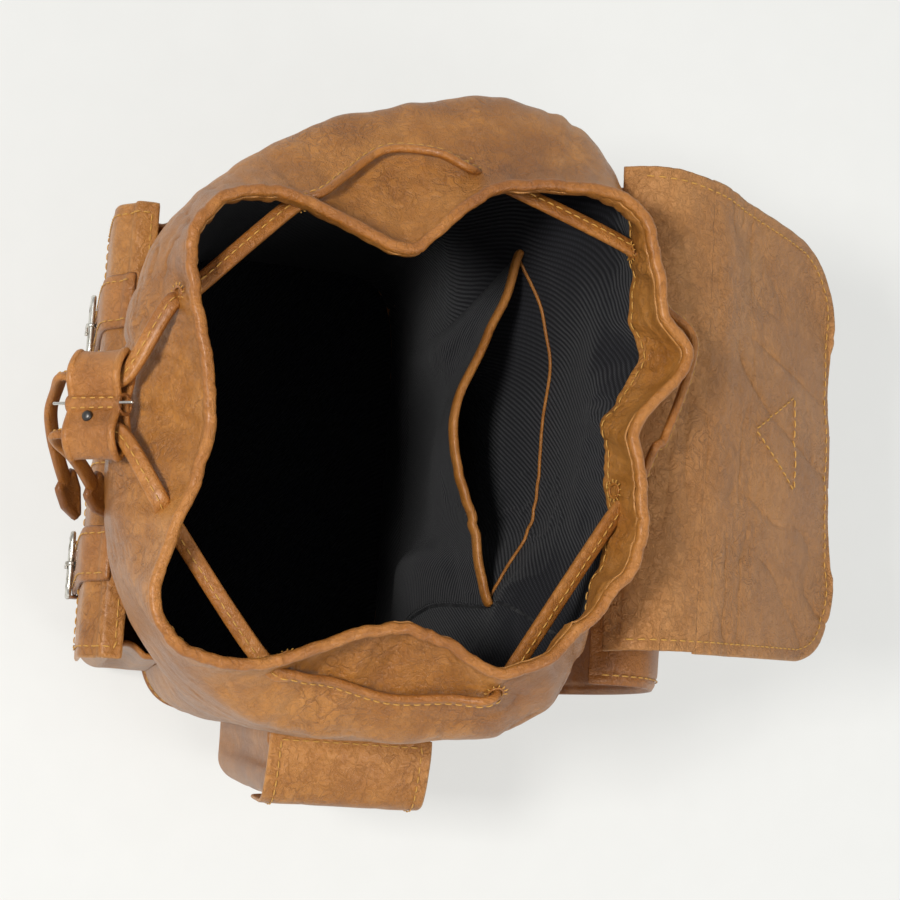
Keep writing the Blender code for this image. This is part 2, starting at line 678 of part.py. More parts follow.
def front_pocket(body, side, parts):
    """One front pocket, its flap, strap, keeper, buckle and prong."""
    centre = POCKET_CENTRES[side]
    low_x, high_x = centre - POCKET_WIDTH / 2, centre + POCKET_WIDTH / 2

    def face(z):
        rise = (z - POCKET_LOW) / (POCKET_HIGH - POCKET_LOW)
        return -(POCKET_FRONT_LOW + (POCKET_FRONT_HIGH - POCKET_FRONT_LOW) * rise)

    def plan_at(z, inset):
        plan = pocket_plan(low_x, high_x, lambda x: face(z) - body.front(x, z) + WALL_GAP,
                           POCKET_ROUND, inset)
        return [(x, face(z) - out) for x, out in plan]

    def back_at(z, inset):
        return [(x, body.front(x, z) - WALL_GAP)
                for x in np.linspace(high_x - inset, low_x + inset, 8)[1:-1]]

    levels = (POCKET_LOW, 60.0, 100.0, 150.0, POCKET_HIGH)
    finish(f"front_pocket_{side}", pocket_cup(plan_at, back_at, levels, LEATHER), "tan", parts)

    # The flap is sewn to the wall, slopes out over the pocket and drops down its face
    sewn = min(body.front(x, FLAP_SEWN) for x in (low_x, centre, high_x)) - SEWN_OUT
    hinge = (centre, sewn, FLAP_SEWN)
    lip = -POCKET_FRONT_HIGH - LIP_OUT
    flap_line = [(sewn, FLAP_SEWN), (sewn - 10, 204.5), (lip + 7, 198.5), (lip, 190.0),
                 (lip + 0.4, 170.0), (lip + 2.2, 150.0), (lip + 4.4, 126.0)]
    ends = (centre - FLAP_WIDTH / 2, centre + FLAP_WIDTH / 2)
    finish(f"front_pocket_flap_{side}",
           ribbon(flap_line, ends, FLAP_THICK, 2, 14.0), "tan", parts, hinge)

    lift = FLAP_THICK / 2 + STRAP_THICK / 2 + GAP
    tail_line = [(lip + 8.0, 86.0), (lip + 9.4, 70.0)]
    strap_line = shifted([*flap_line[1:], *tail_line], lift)
    ends = (centre - STRAP_WIDTH / 2, centre + STRAP_WIDTH / 2)
    finish(f"front_pocket_strap_{side}", ribbon(strap_line, ends, STRAP_THICK, 1, 10.0),
           "tan_dark", parts, hinge)

    slope = math.atan2(3.6, 40.0)
    face_y = lip + 5.6 - lift - STRAP_THICK / 2
    place = Matrix.Translation((centre, face_y - BUCKLE_WIRE - 0.7, 112.0))
    place = place @ Matrix.Rotation(slope, 4, "X")
    buckle(f"front_pocket_buckle_{side}", STRAP_WIDTH, place, parts, hinge)
    loop_centre = Vector((centre, lip + 8.2 - lift, 84.0))
    loop = keeper_loop(STRAP_WIDTH, STRAP_THICK, loop_centre, slope)
    finish(f"front_pocket_keeper_{side}", loop, "tan_dark", parts, hinge)


def buckle(name, strap_width, place, parts, origin=(0.0, 0.0, 0.0)):
    """A rectangular wire buckle in local XZ, with its prong in front of the strap."""
    width = strap_width + 2 * BUCKLE_WIRE + 4.0
    ring = [Vector((x, 0, z)) for x, z in rounded_box(width, BUCKLE_HEIGHT, 4.0, 2)]
    frame = tube(ring, BUCKLE_WIRE, closed=True)
    frame.transform(place)
    finish(name, frame, "silver", parts, origin)
    top = BUCKLE_HEIGHT / 2 - BUCKLE_WIRE - GAP - 1.0
    prong = tube([Vector((0, 0, top)), Vector((0, -0.6, 0)), Vector((0, -1.0, -top + 0.4))], 1.0)
    prong.transform(place)
    bar = place @ Vector((0, 0, BUCKLE_HEIGHT / 2))
    finish(name.replace("buckle", "prong"), prong, "silver", parts, bar)


def keeper_loop(width, thick, centre, slope):
    """A leather loop round a strap."""
    room = 0.5
    outer = rounded_box(width + 2 * room + 3.2, thick + 2 * room + 3.2, 1.5, 2)
    inner = rounded_box(width + 2 * room, thick + 2 * room, 0.6, 2)
    loop = plate([outer, inner], 9.0)
    loop.transform(Matrix.Translation(centre) @ Matrix.Rotation(slope, 4, "X"))
    return loop


def side_pocket(body, side, parts):
    """One side pocket and its flap."""
    sign = -1 if side == "left" else 1
    out_at = SIDE_POCKET_OUT[side]
    low_y, high_y = SIDE_POCKET_Y - SIDE_POCKET_WIDTH / 2, SIDE_POCKET_Y + SIDE_POCKET_WIDTH / 2

    def face(z):
        rise = (z - SIDE_POCKET_LOW) / (SIDE_POCKET_HIGH - SIDE_POCKET_LOW)
        return out_at - 8.0 + 8.0 * rise

    def plan_at(z, inset):
        plan = pocket_plan(low_y, high_y,
                           lambda y: sign * body.side(y, z, sign) + WALL_GAP - face(z),
                           POCKET_ROUND, inset)
        return [(sign * (face(z) + out), y) for y, out in plan]

    def back_at(z, inset):
        return [(body.side(y, z, sign) + sign * WALL_GAP, y)
                for y in np.linspace(high_y - inset, low_y + inset, 8)[1:-1]]

    levels = (SIDE_POCKET_LOW, 60.0, 100.0, 140.0, SIDE_POCKET_HIGH)
    finish(f"side_pocket_{side}", pocket_cup(plan_at, back_at, levels, LEATHER), "tan", parts)

    sewn = max(sign * body.side(y, SIDE_FLAP_SEWN, sign)
               for y in (low_y, SIDE_POCKET_Y, high_y)) + SEWN_OUT
    lip = out_at + LIP_OUT
    line = [(-sewn, SIDE_FLAP_SEWN), (-sewn - 10, 182.5), (-lip + 8, 176.5), (-lip, 168.0),
            (-lip + 0.6, 150.0), (-lip + 1.8, 128.0)]
    flap = ribbon(line, (-SIDE_POCKET_WIDTH / 2 - 2.0, SIDE_POCKET_WIDTH / 2 + 2.0),
                  FLAP_THICK, 2, 16.0)
    turn = Matrix.Rotation(sign * math.pi / 2, 4, "Z")
    flap.transform(Matrix.Translation((0, SIDE_POCKET_Y, 0)) @ turn)
    finish(f"side_pocket_flap_{side}", flap, "tan", parts,
           (sign * sewn, SIDE_POCKET_Y, SIDE_FLAP_SEWN))


def bend_axis(before, bend, after):
    """Where two sheets turn about each other: on their upper faces, above their bend."""
    run = (bend - before).normalized() + (after - bend).normalized()
    return bend + Vector((-run.y, run.x)).normalized() * LEATHER / 2


def main_flap(parts):
    """The flap in three lengths: sewn root, neck and panel, and the strap at its end."""
    start, neck, fold, end = (Vector(p) for p in (NECK_START, NECK_HINGE, FOLD_HINGE, FLAP_END))
    middle = sum(FLAP_X) / 2
    reach = (fold - neck).normalized() * FLAP_SHORT
    seam = (start + neck) / 2 + Vector((0, 1.0))
    finish("flap_root", ribbon([start, seam, neck - (neck - start).normalized() * FLAP_SHORT],
                               FLAP_X, LEATHER, 4), "tan", parts)
    finish("flap_neck", ribbon([neck + reach, (neck + fold) / 2 + Vector((0, 0.8)), fold - reach],
                               FLAP_X, LEATHER, 4),
           "tan", parts, (middle, *bend_axis(start, neck, fold)))
    fold_axis = (middle, *bend_axis(neck, fold, end))
    run = end - fold
    along = run.normalized()
    line = [fold + along * FLAP_SHORT]
    line += [fold + run * share for share in (0.3, 0.55, 0.66, 0.77, 0.86, 0.93, 0.97, 1.0)]
    finish("flap_panel", ribbon(line, FLAP_X, LEATHER, 4, FLAP_CORNER), "tan", parts, fold_axis)

    under = Vector((along.y, -along.x))
    head_end = end - along * 3.0 + under * (LEATHER / 2 + STRAP_THICK / 2 + GAP)
    half, (point, wide, wing) = CLOSURE_WIDTH / 2, CLOSURE_HEAD
    head = plate([[(-1.5, -point), (1.5, -point), (wing, -wide), (half, 7.0 - wide), (half, 0),
                   (-half, 0), (-half, 7.0 - wide), (-wing, -wide)]], STRAP_THICK)
    head.transform(Matrix.Translation((middle, *head_end))
                   @ Matrix.Rotation(math.atan2(along.y, along.x), 4, "X"))
    finish("closure_strap_head", head, "tan_dark", parts, fold_axis)
    hinge = end + along * CLOSURE_OUT
    hang = [hinge + Vector((0, z)) for z in np.linspace(-1.6, -CLOSURE_LENGTH, 9)]
    finish("closure_strap", ribbon(hang, (middle - half, middle + half), STRAP_THICK, 1, 14.0),
           "tan_dark", parts, (middle, *hinge))


def closure_tab(body, parts):
    """The short tab and buckle between the front pockets that the flap's strap goes to."""
    centre = sum(POCKET_CENTRES.values()) / 2
    levels = (178.0, 160.0, 140.0, 118.0, 96.0)
    line = [(body.front(centre, z) - GAP * 2 - STRAP_THICK / 2 - 0.8, z) for z in levels]
    finish("closure_tab", ribbon(line, (centre - 11.0, centre + 11.0), STRAP_THICK), "tan_dark",
           parts)
    slope = math.atan2(line[0][0] - line[-1][0], line[0][1] - line[-1][1])
    place = Matrix.Translation((centre, line[0][0] - STRAP_THICK / 2 - BUCKLE_WIRE - 0.9, 168.0))
    buckle("closure_buckle", 12.0, place @ Matrix.Rotation(-slope, 4, "X"), parts)


def back_fittings(body, parts):
    """The yoke, the carry handle, and the shoulder straps with their buckles and anchors."""
    work = bmesh.new()
    sheets = [[[work.verts.new(body.point(column_angles(z)[k], z, out))
                for k in range(YOKE_COLUMNS[0], YOKE_COLUMNS[1] + 1)] for z in YOKE_LEVELS]
              for out in (2 * GAP, 2 * GAP + LEATHER)]
    close_sheets(work, *sheets)
    finish("back_yoke", mesh_from(work, "yoke"), "tan_dark", parts)
    yoke_y = max(body.point(a, YOKE_LEVELS[1], LEATHER).y for a in range(70, 116, 5))

    top = yoke_y + HANDLE_OUT
    handle = smooth_path([(HANDLE_X + x, top, HANDLE_Z + z) for x, z in HANDLE_LOOP], 9.0)
    finish("carry_handle", tube(handle, HANDLE_RADIUS), "tan_dark", parts,
           (HANDLE_X, top, HANDLE_Z + 3.0))

    for side, x in SHOULDER_X.items():
        across = (x - SHOULDER_WIDTH / 2, x + SHOULDER_WIDTH / 2)
        line = smooth_path([(0, y, z) for y, z in SHOULDER_LINE], 14.0)
        finish(f"shoulder_strap_{side}",
               ribbon([(p.y, p.z) for p in line], across, SHOULDER_THICK), "tan_dark", parts)
        across = (x - LOWER_WIDTH / 2, x + LOWER_WIDTH / 2)
        line = smooth_path([(0, y, z) for y, z in LOWER_LINE], 14.0)
        finish(f"lower_strap_{side}", ribbon([(p.y, p.z) for p in line], across, LOWER_THICK),
               "tan_dark", parts)
        a, b = Vector(LOWER_LINE[1]), Vector(LOWER_LINE[2])
        middle = (a + b) / 2
        slope = math.atan2(a.x - b.x, a.y - b.y)
        out = Vector((math.cos(slope), -math.sin(slope))) * (LOWER_THICK / 2 + BUCKLE_WIRE + 1.4)
        place = Matrix.Translation((x, middle.x + out.x, middle.y + out.y))
        place = place @ Matrix.Rotation(-slope, 4, "X") @ Matrix.Rotation(math.pi, 4, "Z")
        buckle(f"shoulder_buckle_{side}", LOWER_WIDTH, place, parts)


def clear_scene():
    """Removes the objects a new file starts with."""
    for old in list(bpy.data.objects):
        bpy.data.objects.remove(old)


def main():
    """Builds every part."""
    clear_scene()
    parts = bpy.data.collections.new("leather_backpack")
    store = bpy.data.collections.new("cutters")
    for collection in (parts, store):
        bpy.context.scene.collection.children.link(collection)
    body = Body()

    finish("base_panel", base_plate(body, 0.0, BASE_THICK, 0.0), "tan_dark", parts)
    board_low = BASE_THICK + GAP
    finish("base_board", base_plate(body, board_low, BOARD_THICK, LEATHER + LINING_GAP), "board", parts)
    finish("lining", lining_bag(body, board_low + BOARD_THICK + GAP), "navy", parts)
    panels = [finish("front_side_panel", wall_panel(body, False), "tan", parts),
              finish("back_panel", wall_panel(body, True), "tan", parts)]
    facing_levels = [z for z in WALL_LEVELS if z > LINING_TOP]
    facing = ring_wall(body, facing_levels, LEATHER + 0.4, LEATHER + 0.4 + FACING_THICK)
    panels.append(finish("mouth_facing", facing, "tan", parts))

    over = (LEATHER + FACING_THICK) / 2
    rim = [body.point(a, WALL_TOP, -over) + Vector((0, 0, GAP + BINDING_RADIUS))
           for a in column_angles(WALL_TOP)[:-1]]
    finish("mouth_binding", tube(rim, BINDING_RADIUS, closed=True), "rim", parts)

    path = smooth_path(drawstring_route(body), 12.0)
    finish("drawstring", tube(path, CORD_RADIUS), "tan", parts)
    holes = drawstring_holes(body, path)
    for panel in panels:
        cut(panel, [tube(hole, CORD_RADIUS + HOLE_CLEARANCE) for hole in holes], store)

    slip_pocket(body, parts)
    slider(parts, store)
    tails(parts)
    for side in ("left", "right"):
        front_pocket(body, side, parts)
        side_pocket(body, side, parts)
    main_flap(parts)
    closure_tab(body, parts)
    back_fittings(body, parts)


main()
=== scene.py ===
"""Looks of a tan leather drawstring backpack, open, with its flap thrown back.

Lengths are millimetres until a piece is built, when MM turns them into metres.
-Y is the front, with two buckled pockets, and +Y the back, with the flap and the straps.
"""
from __future__ import annotations

import itertools
import logging
import math
from dataclasses import dataclass
from enum import Enum
from typing import Optional, Sequence, Union

import bpy
import numpy as np
from mathutils import Matrix, Vector


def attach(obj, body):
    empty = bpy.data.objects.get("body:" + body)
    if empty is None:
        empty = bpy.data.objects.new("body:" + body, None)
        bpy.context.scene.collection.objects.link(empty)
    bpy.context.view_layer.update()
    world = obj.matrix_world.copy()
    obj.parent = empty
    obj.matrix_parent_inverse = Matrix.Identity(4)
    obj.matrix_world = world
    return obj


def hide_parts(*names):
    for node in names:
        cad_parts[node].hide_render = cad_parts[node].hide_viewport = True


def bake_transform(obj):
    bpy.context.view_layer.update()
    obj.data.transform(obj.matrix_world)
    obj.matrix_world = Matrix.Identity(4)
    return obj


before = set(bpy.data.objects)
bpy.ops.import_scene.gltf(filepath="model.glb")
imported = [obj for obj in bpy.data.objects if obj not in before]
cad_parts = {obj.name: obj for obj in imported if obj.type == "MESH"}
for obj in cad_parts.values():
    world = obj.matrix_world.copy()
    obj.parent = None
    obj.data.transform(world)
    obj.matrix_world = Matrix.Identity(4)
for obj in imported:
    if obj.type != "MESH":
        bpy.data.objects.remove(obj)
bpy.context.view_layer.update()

log = logging.getLogger("backpack")
MM = 0.001
SEED = 11
MIDDLE = np.array([6.0, 4.0])  # of the mouth, in X and Y
Array = np.ndarray
Colour = tuple[float, float, float]


class Side(Enum):
    """The bag's two sides, as its wearer names them from the front view: value is the sign of X."""

    LEFT = -1
    RIGHT = 1

    @property
    def word(self) -> str:
        """The side's name in piece names."""
        return self.name.lower()


# ---------------------------------------------------------------- numbers on grids

def noise(points: Array, pitch: float, seed: int = 0) -> Array:
    """Smooth noise from -1 to 1: random values on a cubic lattice, eased from corner to corner.

    Args:
        points: places in millimetres, in the last axis.
        pitch: the lattice's step.
        seed: picks another pattern.

    Returns:
        One value for each point.
    """
    spots = np.asarray(points, dtype=float) / pitch + 512.0
    cell = np.floor(spots).astype(np.int64)
    part = spots - cell
    eased = part * part * (3 - 2 * part)
    total = np.zeros(spots.shape[:-1])
    for corner in itertools.product((0, 1), repeat=3):
        pick = np.array(corner)
        key = ((cell + pick) * np.array([73856093, 19349663, 83492791])).sum(-1)
        key = (key + (seed + 1) * 26544357) & 0xFFFFFFFF
        key = ((key ^ (key >> 13)) * 1274126177) & 0xFFFFFFFF
        key = (key ^ (key >> 15)) & 0xFFFF
        total += (key / 32767.5 - 1) * np.where(pick, eased, 1 - eased).prod(-1)
    return total


def cloud(points: Array, pitch: float, layers: int = 3, seed: int = 0) -> Array:
    """Noise in layers, each at half the pitch and half the strength of the one before."""
    return sum(noise(points, pitch / 2 ** k, seed + 7 * k) / 2 ** k for k in range(layers))


def creases(points: Array, pitch: float, seed: int = 0, sharp: float = 6.0) -> Array:
    """Crease lines from 0 to 1: one where the noise crosses zero, falling off steeply."""
    return np.exp(-sharp * np.abs(noise(points, pitch, seed) + 0.4 * noise(points, pitch / 2, seed + 3)))


def ease(value: Union[float, Array], low: float, high: float) -> Array:
    """A smooth step: 3t^2 - 2t^3, where t runs from 0 at low to 1 at high."""
    t = np.clip((np.asarray(value, dtype=float) - low) / (high - low), 0.0, 1.0)
    return t * t * (3 - 2 * t)


def unit(vectors: Array) -> Array:
    """The vectors at length one."""
    return vectors / np.maximum(np.linalg.norm(vectors, axis=-1, keepdims=True), 1e-9)


def facing(grid: Array, loop: bool = False) -> Array:
    """A grid's normals: the cross product of its steps down the rows and along the columns."""
    down = np.gradient(grid, axis=0)
    across = (np.roll(grid, -1, 1) - np.roll(grid, 1, 1)) / 2 if loop else np.gradient(grid, axis=1)
    return unit(np.cross(down, across))


def lengths(path: Array) -> Array:
    """The distance run along a path at each of its points."""
    return np.concatenate([[0.0], np.cumsum(np.linalg.norm(np.diff(path, axis=0), axis=1))])


def spaced(path: Array, step: float) -> Array:
    """A path's points put at an even spacing."""
    along = lengths(path)
    wanted = np.linspace(0.0, along[-1], max(2, round(along[-1] / step)) + 1)
    return np.stack([np.interp(wanted, along, path[:, k]) for k in range(path.shape[1])], axis=1)


def smooth(knots: Sequence[Sequence[float]], step: float) -> Array:
    """A smooth path: the cubic through four knots at a time (Catmull and Rom), evenly spaced.

    Args:
        knots: the points that the path goes through.
        step: the spacing of the result.

    Returns:
        The path's points.
    """
    k = np.array(knots, dtype=float)
    k = np.concatenate([[k[0] * 2 - k[1]], k, [k[-1] * 2 - k[-2]]])
    t = np.linspace(0, 1, 16, endpoint=False)[None, :, None]
    a, b, c, d = (k[i:len(k) - 3 + i][:, None, :] for i in range(4))
    curve = 0.5 * (2 * b + (c - a) * t + (2 * a - 5 * b + 4 * c - d) * t * t
                   + (3 * b - 3 * c + d - a) * t ** 3)
    return spaced(np.concatenate([curve.reshape(-1, k.shape[1]), k[-2:-1]]), step)


def grid_faces(rows: int, columns: int, loop: bool, first: int = 0) -> Array:
    """The four-sided faces of a grid, counter-clockwise seen along its normals."""
    i, j = np.meshgrid(np.arange(rows - 1), np.arange(columns if loop else columns - 1), indexing="ij")
    k = (j + 1) % columns
    return np.stack([i * columns + j, (i + 1) * columns + j, (i + 1) * columns + k,
                     i * columns + k], axis=-1).reshape(-1, 4) + first


# ---------------------------------------------------------------- shapes

@dataclass
class Shape:
    """A mesh in the making.

    points are places in millimetres, faces are arrays of corners, chart is each point's place
    on the flat leather or cloth, and wear runs from 0 on plain stock to 1 on a rubbed ridge.
    """

    points: Array
    faces: list[Array]
    chart: Array
    wear: Array

    @staticmethod
    def join(shapes: Sequence["Shape"]) -> "Shape":
        """One shape of several."""
        counts = np.cumsum([0] + [len(s.points) for s in shapes])
        return Shape(np.concatenate([s.points for s in shapes]),
                     [f + n for s, n in zip(shapes, counts) for f in s.faces],
                     np.concatenate([s.chart for s in shapes]),
                     np.concatenate([s.wear for s in shapes]))

    def moved(self, matrix: Matrix) -> "Shape":
        """The shape turned and shifted by a matrix whose shift is in millimetres."""
        m = np.array(matrix)
        return Shape(self.points @ m[:3, :3].T + m[:3, 3], self.faces, self.chart, self.wear)

    def build(self, name: str, finish: bpy.types.Material) -> bpy.types.Object:
        """Makes the shape an object in metres, at the origin.

        Args:
            name: the piece's name.
            finish: its material.

        Returns:
            The new object.
        """
        mesh = bpy.data.meshes.new(name)
        corners = [face for array in self.faces for face in array.tolist()]
        mesh.from_pydata((self.points * MM).tolist(), [], corners)
        order = np.empty(len(mesh.loops), dtype=np.int32)
        mesh.loops.foreach_get("vertex_index", order)
        layer = mesh.uv_layers.new(name="UVMap")
        layer.data.foreach_set("uv", (self.chart[order] * MM).astype(np.float32).ravel())
        rubbed = mesh.attributes.new("wear", "FLOAT", "POINT")
        rubbed.data.foreach_set("value", self.wear.astype(np.float32))
        mesh.polygons.foreach_set("use_smooth", np.ones(len(mesh.polygons), dtype=bool))
        mesh.materials.append(finish)
        mesh.update()
        piece = bpy.data.objects.new(name, mesh)
        bpy.context.scene.collection.objects.link(piece)
        return piece


def sheet(middle: Array, thick: float, loop: bool = False, chart: Optional[Array] = None,
          wear: Optional[Array] = None, rim: int = 3) -> Shape:
    """Closes a surface into a sheet with round edges.

    Each point of the surface gives one half the thickness up its normal and one down it. Along
    the border, points on a half circle about it join the two.

    Args:
        middle: the surface, (rows, columns, 3).
        thick: the sheet's thickness.
        loop: whether the last column meets the first.
        chart: the pattern's places, (rows, columns, 2). Left out, it is measured on the grid.
        wear: rubbing, (rows, columns).
        rim: steps of the half circle.

    Returns:
        The closed sheet. Its upper side is the one its normals point from.
    """
    rows, columns = middle.shape[:2]
    up = facing(middle, loop)
    if chart is None:
        chart = measured(middle)
    wear = np.zeros((rows, columns)) if wear is None else wear
    half = thick / 2
    down, across = np.gradient(middle, axis=0), np.gradient(middle, axis=1)
    if loop:
        j = np.arange(columns)
        borders = [(np.zeros(columns, int), j, -down[0]), (np.full(columns, rows - 1), j[::-1], down[-1, ::-1])]
    else:
        r, c = np.arange(rows), np.arange(columns)
        i = np.concatenate([np.zeros(columns - 1, int), r[:-1], np.full(columns - 1, rows - 1), r[:0:-1]])
        j = np.concatenate([c[:-1], np.full(rows - 1, columns - 1), c[:0:-1], np.zeros(rows - 1, int)])
        away = (np.where(i == 0, -1, np.where(i == rows - 1, 1, 0))[:, None] * unit(down[i, j])
                + np.where(j == 0, -1, np.where(j == columns - 1, 1, 0))[:, None] * unit(across[i, j]))
        borders = [(i, j, away)]
    points = [(middle + up * half).reshape(-1, 3), (middle - up * half).reshape(-1, 3)]
    charts, wears = [chart.reshape(-1, 2)] * 2, [wear.ravel()] * 2
    faces = [grid_faces(rows, columns, loop), grid_faces(rows, columns, loop, rows * columns)[:, ::-1]]
    count = 2 * rows * columns
    for i, j, out in borders:
        flat, size = i * columns + j, len(i)
        edge, rise = middle[i, j], up[i, j]
        out_here = unit(np.cross(np.roll(edge, -1, 0) - np.roll(edge, 1, 0), rise))
        out_here = out_here * np.sign((out_here * out).sum(-1).mean())
        rings = [flat]
        for k in range(1, rim):
            turn = math.pi * k / rim
            points.append(edge + rise * half * math.cos(turn) + out_here * half * math.sin(turn))
            charts.append(chart[i, j] + 0.4 * half * k)
            wears.append(np.maximum(wear[i, j], math.sin(turn)))
            rings.append(count + np.arange(size))
            count += size
        rings.append(flat + rows * columns)
        for a, b in zip(rings, rings[1:]):
            faces.append(np.stack([a, np.roll(a, -1), np.roll(b, -1), b], axis=1))
    return Shape(np.concatenate(points), faces, np.concatenate(charts), np.concatenate(wears))


def measured(grid: Array) -> Array:
    """A grid's own chart: the distance run along its columns, and down its rows."""
    across = np.linalg.norm(np.diff(grid, axis=1), axis=-1)
    down = np.linalg.norm(np.diff(grid, axis=0), axis=-1)
    u = np.concatenate([np.zeros((grid.shape[0], 1)), np.cumsum(across, axis=1)], axis=1)
    v = np.concatenate([np.zeros((1, grid.shape[1])), np.cumsum(down, axis=0)], axis=0)
    return np.stack([u - u.mean(axis=1, keepdims=True), v], axis=-1)


def frames(path: Array, side: Array, loop: bool = False) -> tuple[Array, Array, Array]:
    """A path's run, its side direction made square to the run, and the third direction."""
    run = unit(np.roll(path, -1, 0) - np.roll(path, 1, 0)) if loop else unit(np.gradient(path, axis=0))
    side = np.broadcast_to(np.asarray(side, dtype=float), path.shape)
    side = unit(side - run * (side * run).sum(-1, keepdims=True))
    return run, side, np.cross(run, side)


def oval(width: float, height: float, count: int = 16, power: float = 2.0) -> Array:
    """A closed profile: |x/a|^p + |y/b|^p = 1, counter-clockwise."""
    turn = np.linspace(0, 2 * math.pi, count, endpoint=False)
    c, s = np.cos(turn), np.sin(turn)
    return np.stack([width / 2 * np.sign(c) * np.abs(c) ** (2 / power),
                     height / 2 * np.sign(s) * np.abs(s) ** (2 / power)], axis=1)


def sweep(path: Array, side: Union[Array, Sequence[float]], profile: Array, loop: bool = False,
          size: Optional[Array] = None, dome: int = 4, wear: float = 0.0) -> Shape:
    """Carries a closed profile along a path, and closes its ends with domes.

    A point of the surface is path + x * side + y * up, with (x, y) from the profile.

    Args:
        path: the points, (n, 3).
        side: the direction of the profile's x, one or for each point.
        profile: (m, 2), or (n, m, 2) where it changes along the path.
        loop: whether the path closes.
        size: a scale for each point of the path.
        dome: rings in each domed end.
        wear: how rubbed the surface is.

    Returns:
        The closed shape.
    """
    run, side, up = frames(path, side, loop)
    size = np.ones(len(path)) if size is None else size
    profile = np.broadcast_to(profile, (len(path), *profile.shape[-2:])) * size[:, None, None]
    if not loop:
        depth = np.abs(profile[[0, -1], :, 1]).max()
        turns = np.linspace(0, math.pi / 2, dome + 1)[1:] * 0.98
        back = depth * np.sin(turns)[:, None]
        path = np.concatenate([(path[0] - run[0] * back)[::-1], path, path[-1] + run[-1] * back])
        shrink = np.cos(turns)[:, None, None]
        profile = np.concatenate([(profile[0] * shrink)[::-1], profile, profile[-1] * shrink])
        side = np.concatenate([np.repeat(side[:1], dome, 0), side, np.repeat(side[-1:], dome, 0)])
        up = np.concatenate([np.repeat(up[:1], dome, 0), up, np.repeat(up[-1:], dome, 0)])
    points = (path[:, None] + side[:, None] * profile[..., :1] + up[:, None] * profile[..., 1:])
    n, m = points.shape[:2]
    if loop:
        faces = [np.concatenate([grid_faces(n, m, True)[:, ::-1], np.stack(
            [(n - 1) * m + np.arange(m), (n - 1) * m + (np.arange(m) + 1) % m,
             (np.arange(m) + 1) % m, np.arange(m)], axis=1)])]
    else:
        faces = [grid_faces(n, m, True)[:, ::-1], np.arange(m)[::-1][None], (n - 1) * m + np.arange(m)[None]]
    around = np.concatenate([[0.0], np.cumsum(np.linalg.norm(np.diff(points[n // 2], axis=0), axis=1))])
    chart = np.stack(np.broadcast_arrays(around[None, :], lengths(path)[:, None]), axis=-1)
    return Shape(points.reshape(-1, 3), faces, chart.reshape(-1, 2), np.full(n * m, float(wear)))


def stitches(path: Array, up: Union[Array, Sequence[float]], pitch: float = 5.4, length: float = 4.3,
             thick: float = 0.85, seed: int = 0) -> Shape:
    """A row of thread stitches lying on a surface.

    A stitch is a round bar. Its radius is (1 - x^4)^(1/2) of the thread's along its length x, and
    it sinks by x^4, so that its ends go into the leather.

    Args:
        path: the row, on the surface.
        up: the surface's normal, one or for each point of the path.
        pitch: from one stitch to the next.
        length: of a stitch.
        thick: the thread's thickness.
        seed: picks other small differences.

    Returns:
        All stitches in one shape.
    """
    along = lengths(path)
    count = max(1, int(along[-1] / pitch))
    middle = (np.arange(count) + 0.5) * along[-1] / count
    run, side, rise = frames(path, np.cross(np.broadcast_to(up, path.shape), unit(np.gradient(path, axis=0))))
    picked = [np.stack([np.interp(middle, along, a[:, k]) for k in range(3)], axis=1)
              for a in (path, run, side, rise)]
    place, run, side, rise = picked[0], *(unit(p) for p in picked[1:])
    sway = np.random.default_rng(SEED + seed).normal(0.0, 0.035, count)[:, None]
    run = unit(run + side * sway)
    x = np.array([-1.0, -0.8, -0.35, 0.35, 0.8, 1.0])
    radius = np.sqrt(np.maximum(1 - x ** 4, 0.02))
    turn = np.linspace(0, 2 * math.pi, 6, endpoint=False)
    ring = (place[:, None, None] + run[:, None, None] * (x * length / 2)[None, :, None, None]
            + -side[:, None, None] * (radius[:, None] * np.cos(turn) * thick / 2)[None, ..., None]
            + rise[:, None, None] * (radius[:, None] * np.sin(turn) * thick / 2
                                     + (thick * 0.34 - thick * 0.55 * x ** 4)[:, None])[None, ..., None])
    one = grid_faces(6, 6, True)
    base = (np.arange(count) * 36)[:, None, None]
    faces = [(one[None] + base).reshape(-1, 4),
             (np.arange(6)[::-1][None, None] + base).reshape(-1, 6)[:, ::-1],
             (30 + np.arange(6)[None, None] + base).reshape(-1, 6)[:, ::-1]]
    chart = np.stack(np.broadcast_arrays(np.arange(6)[None, None, :] * 0.5, (x * length / 2)[None, :, None]
                                         + middle[:, None, None]), axis=-1)
    points = ring.reshape(-1, 3)
    return Shape(points, faces, chart.reshape(-1, 2), np.zeros(len(points)))


# ---------------------------------------------------------------- finishes

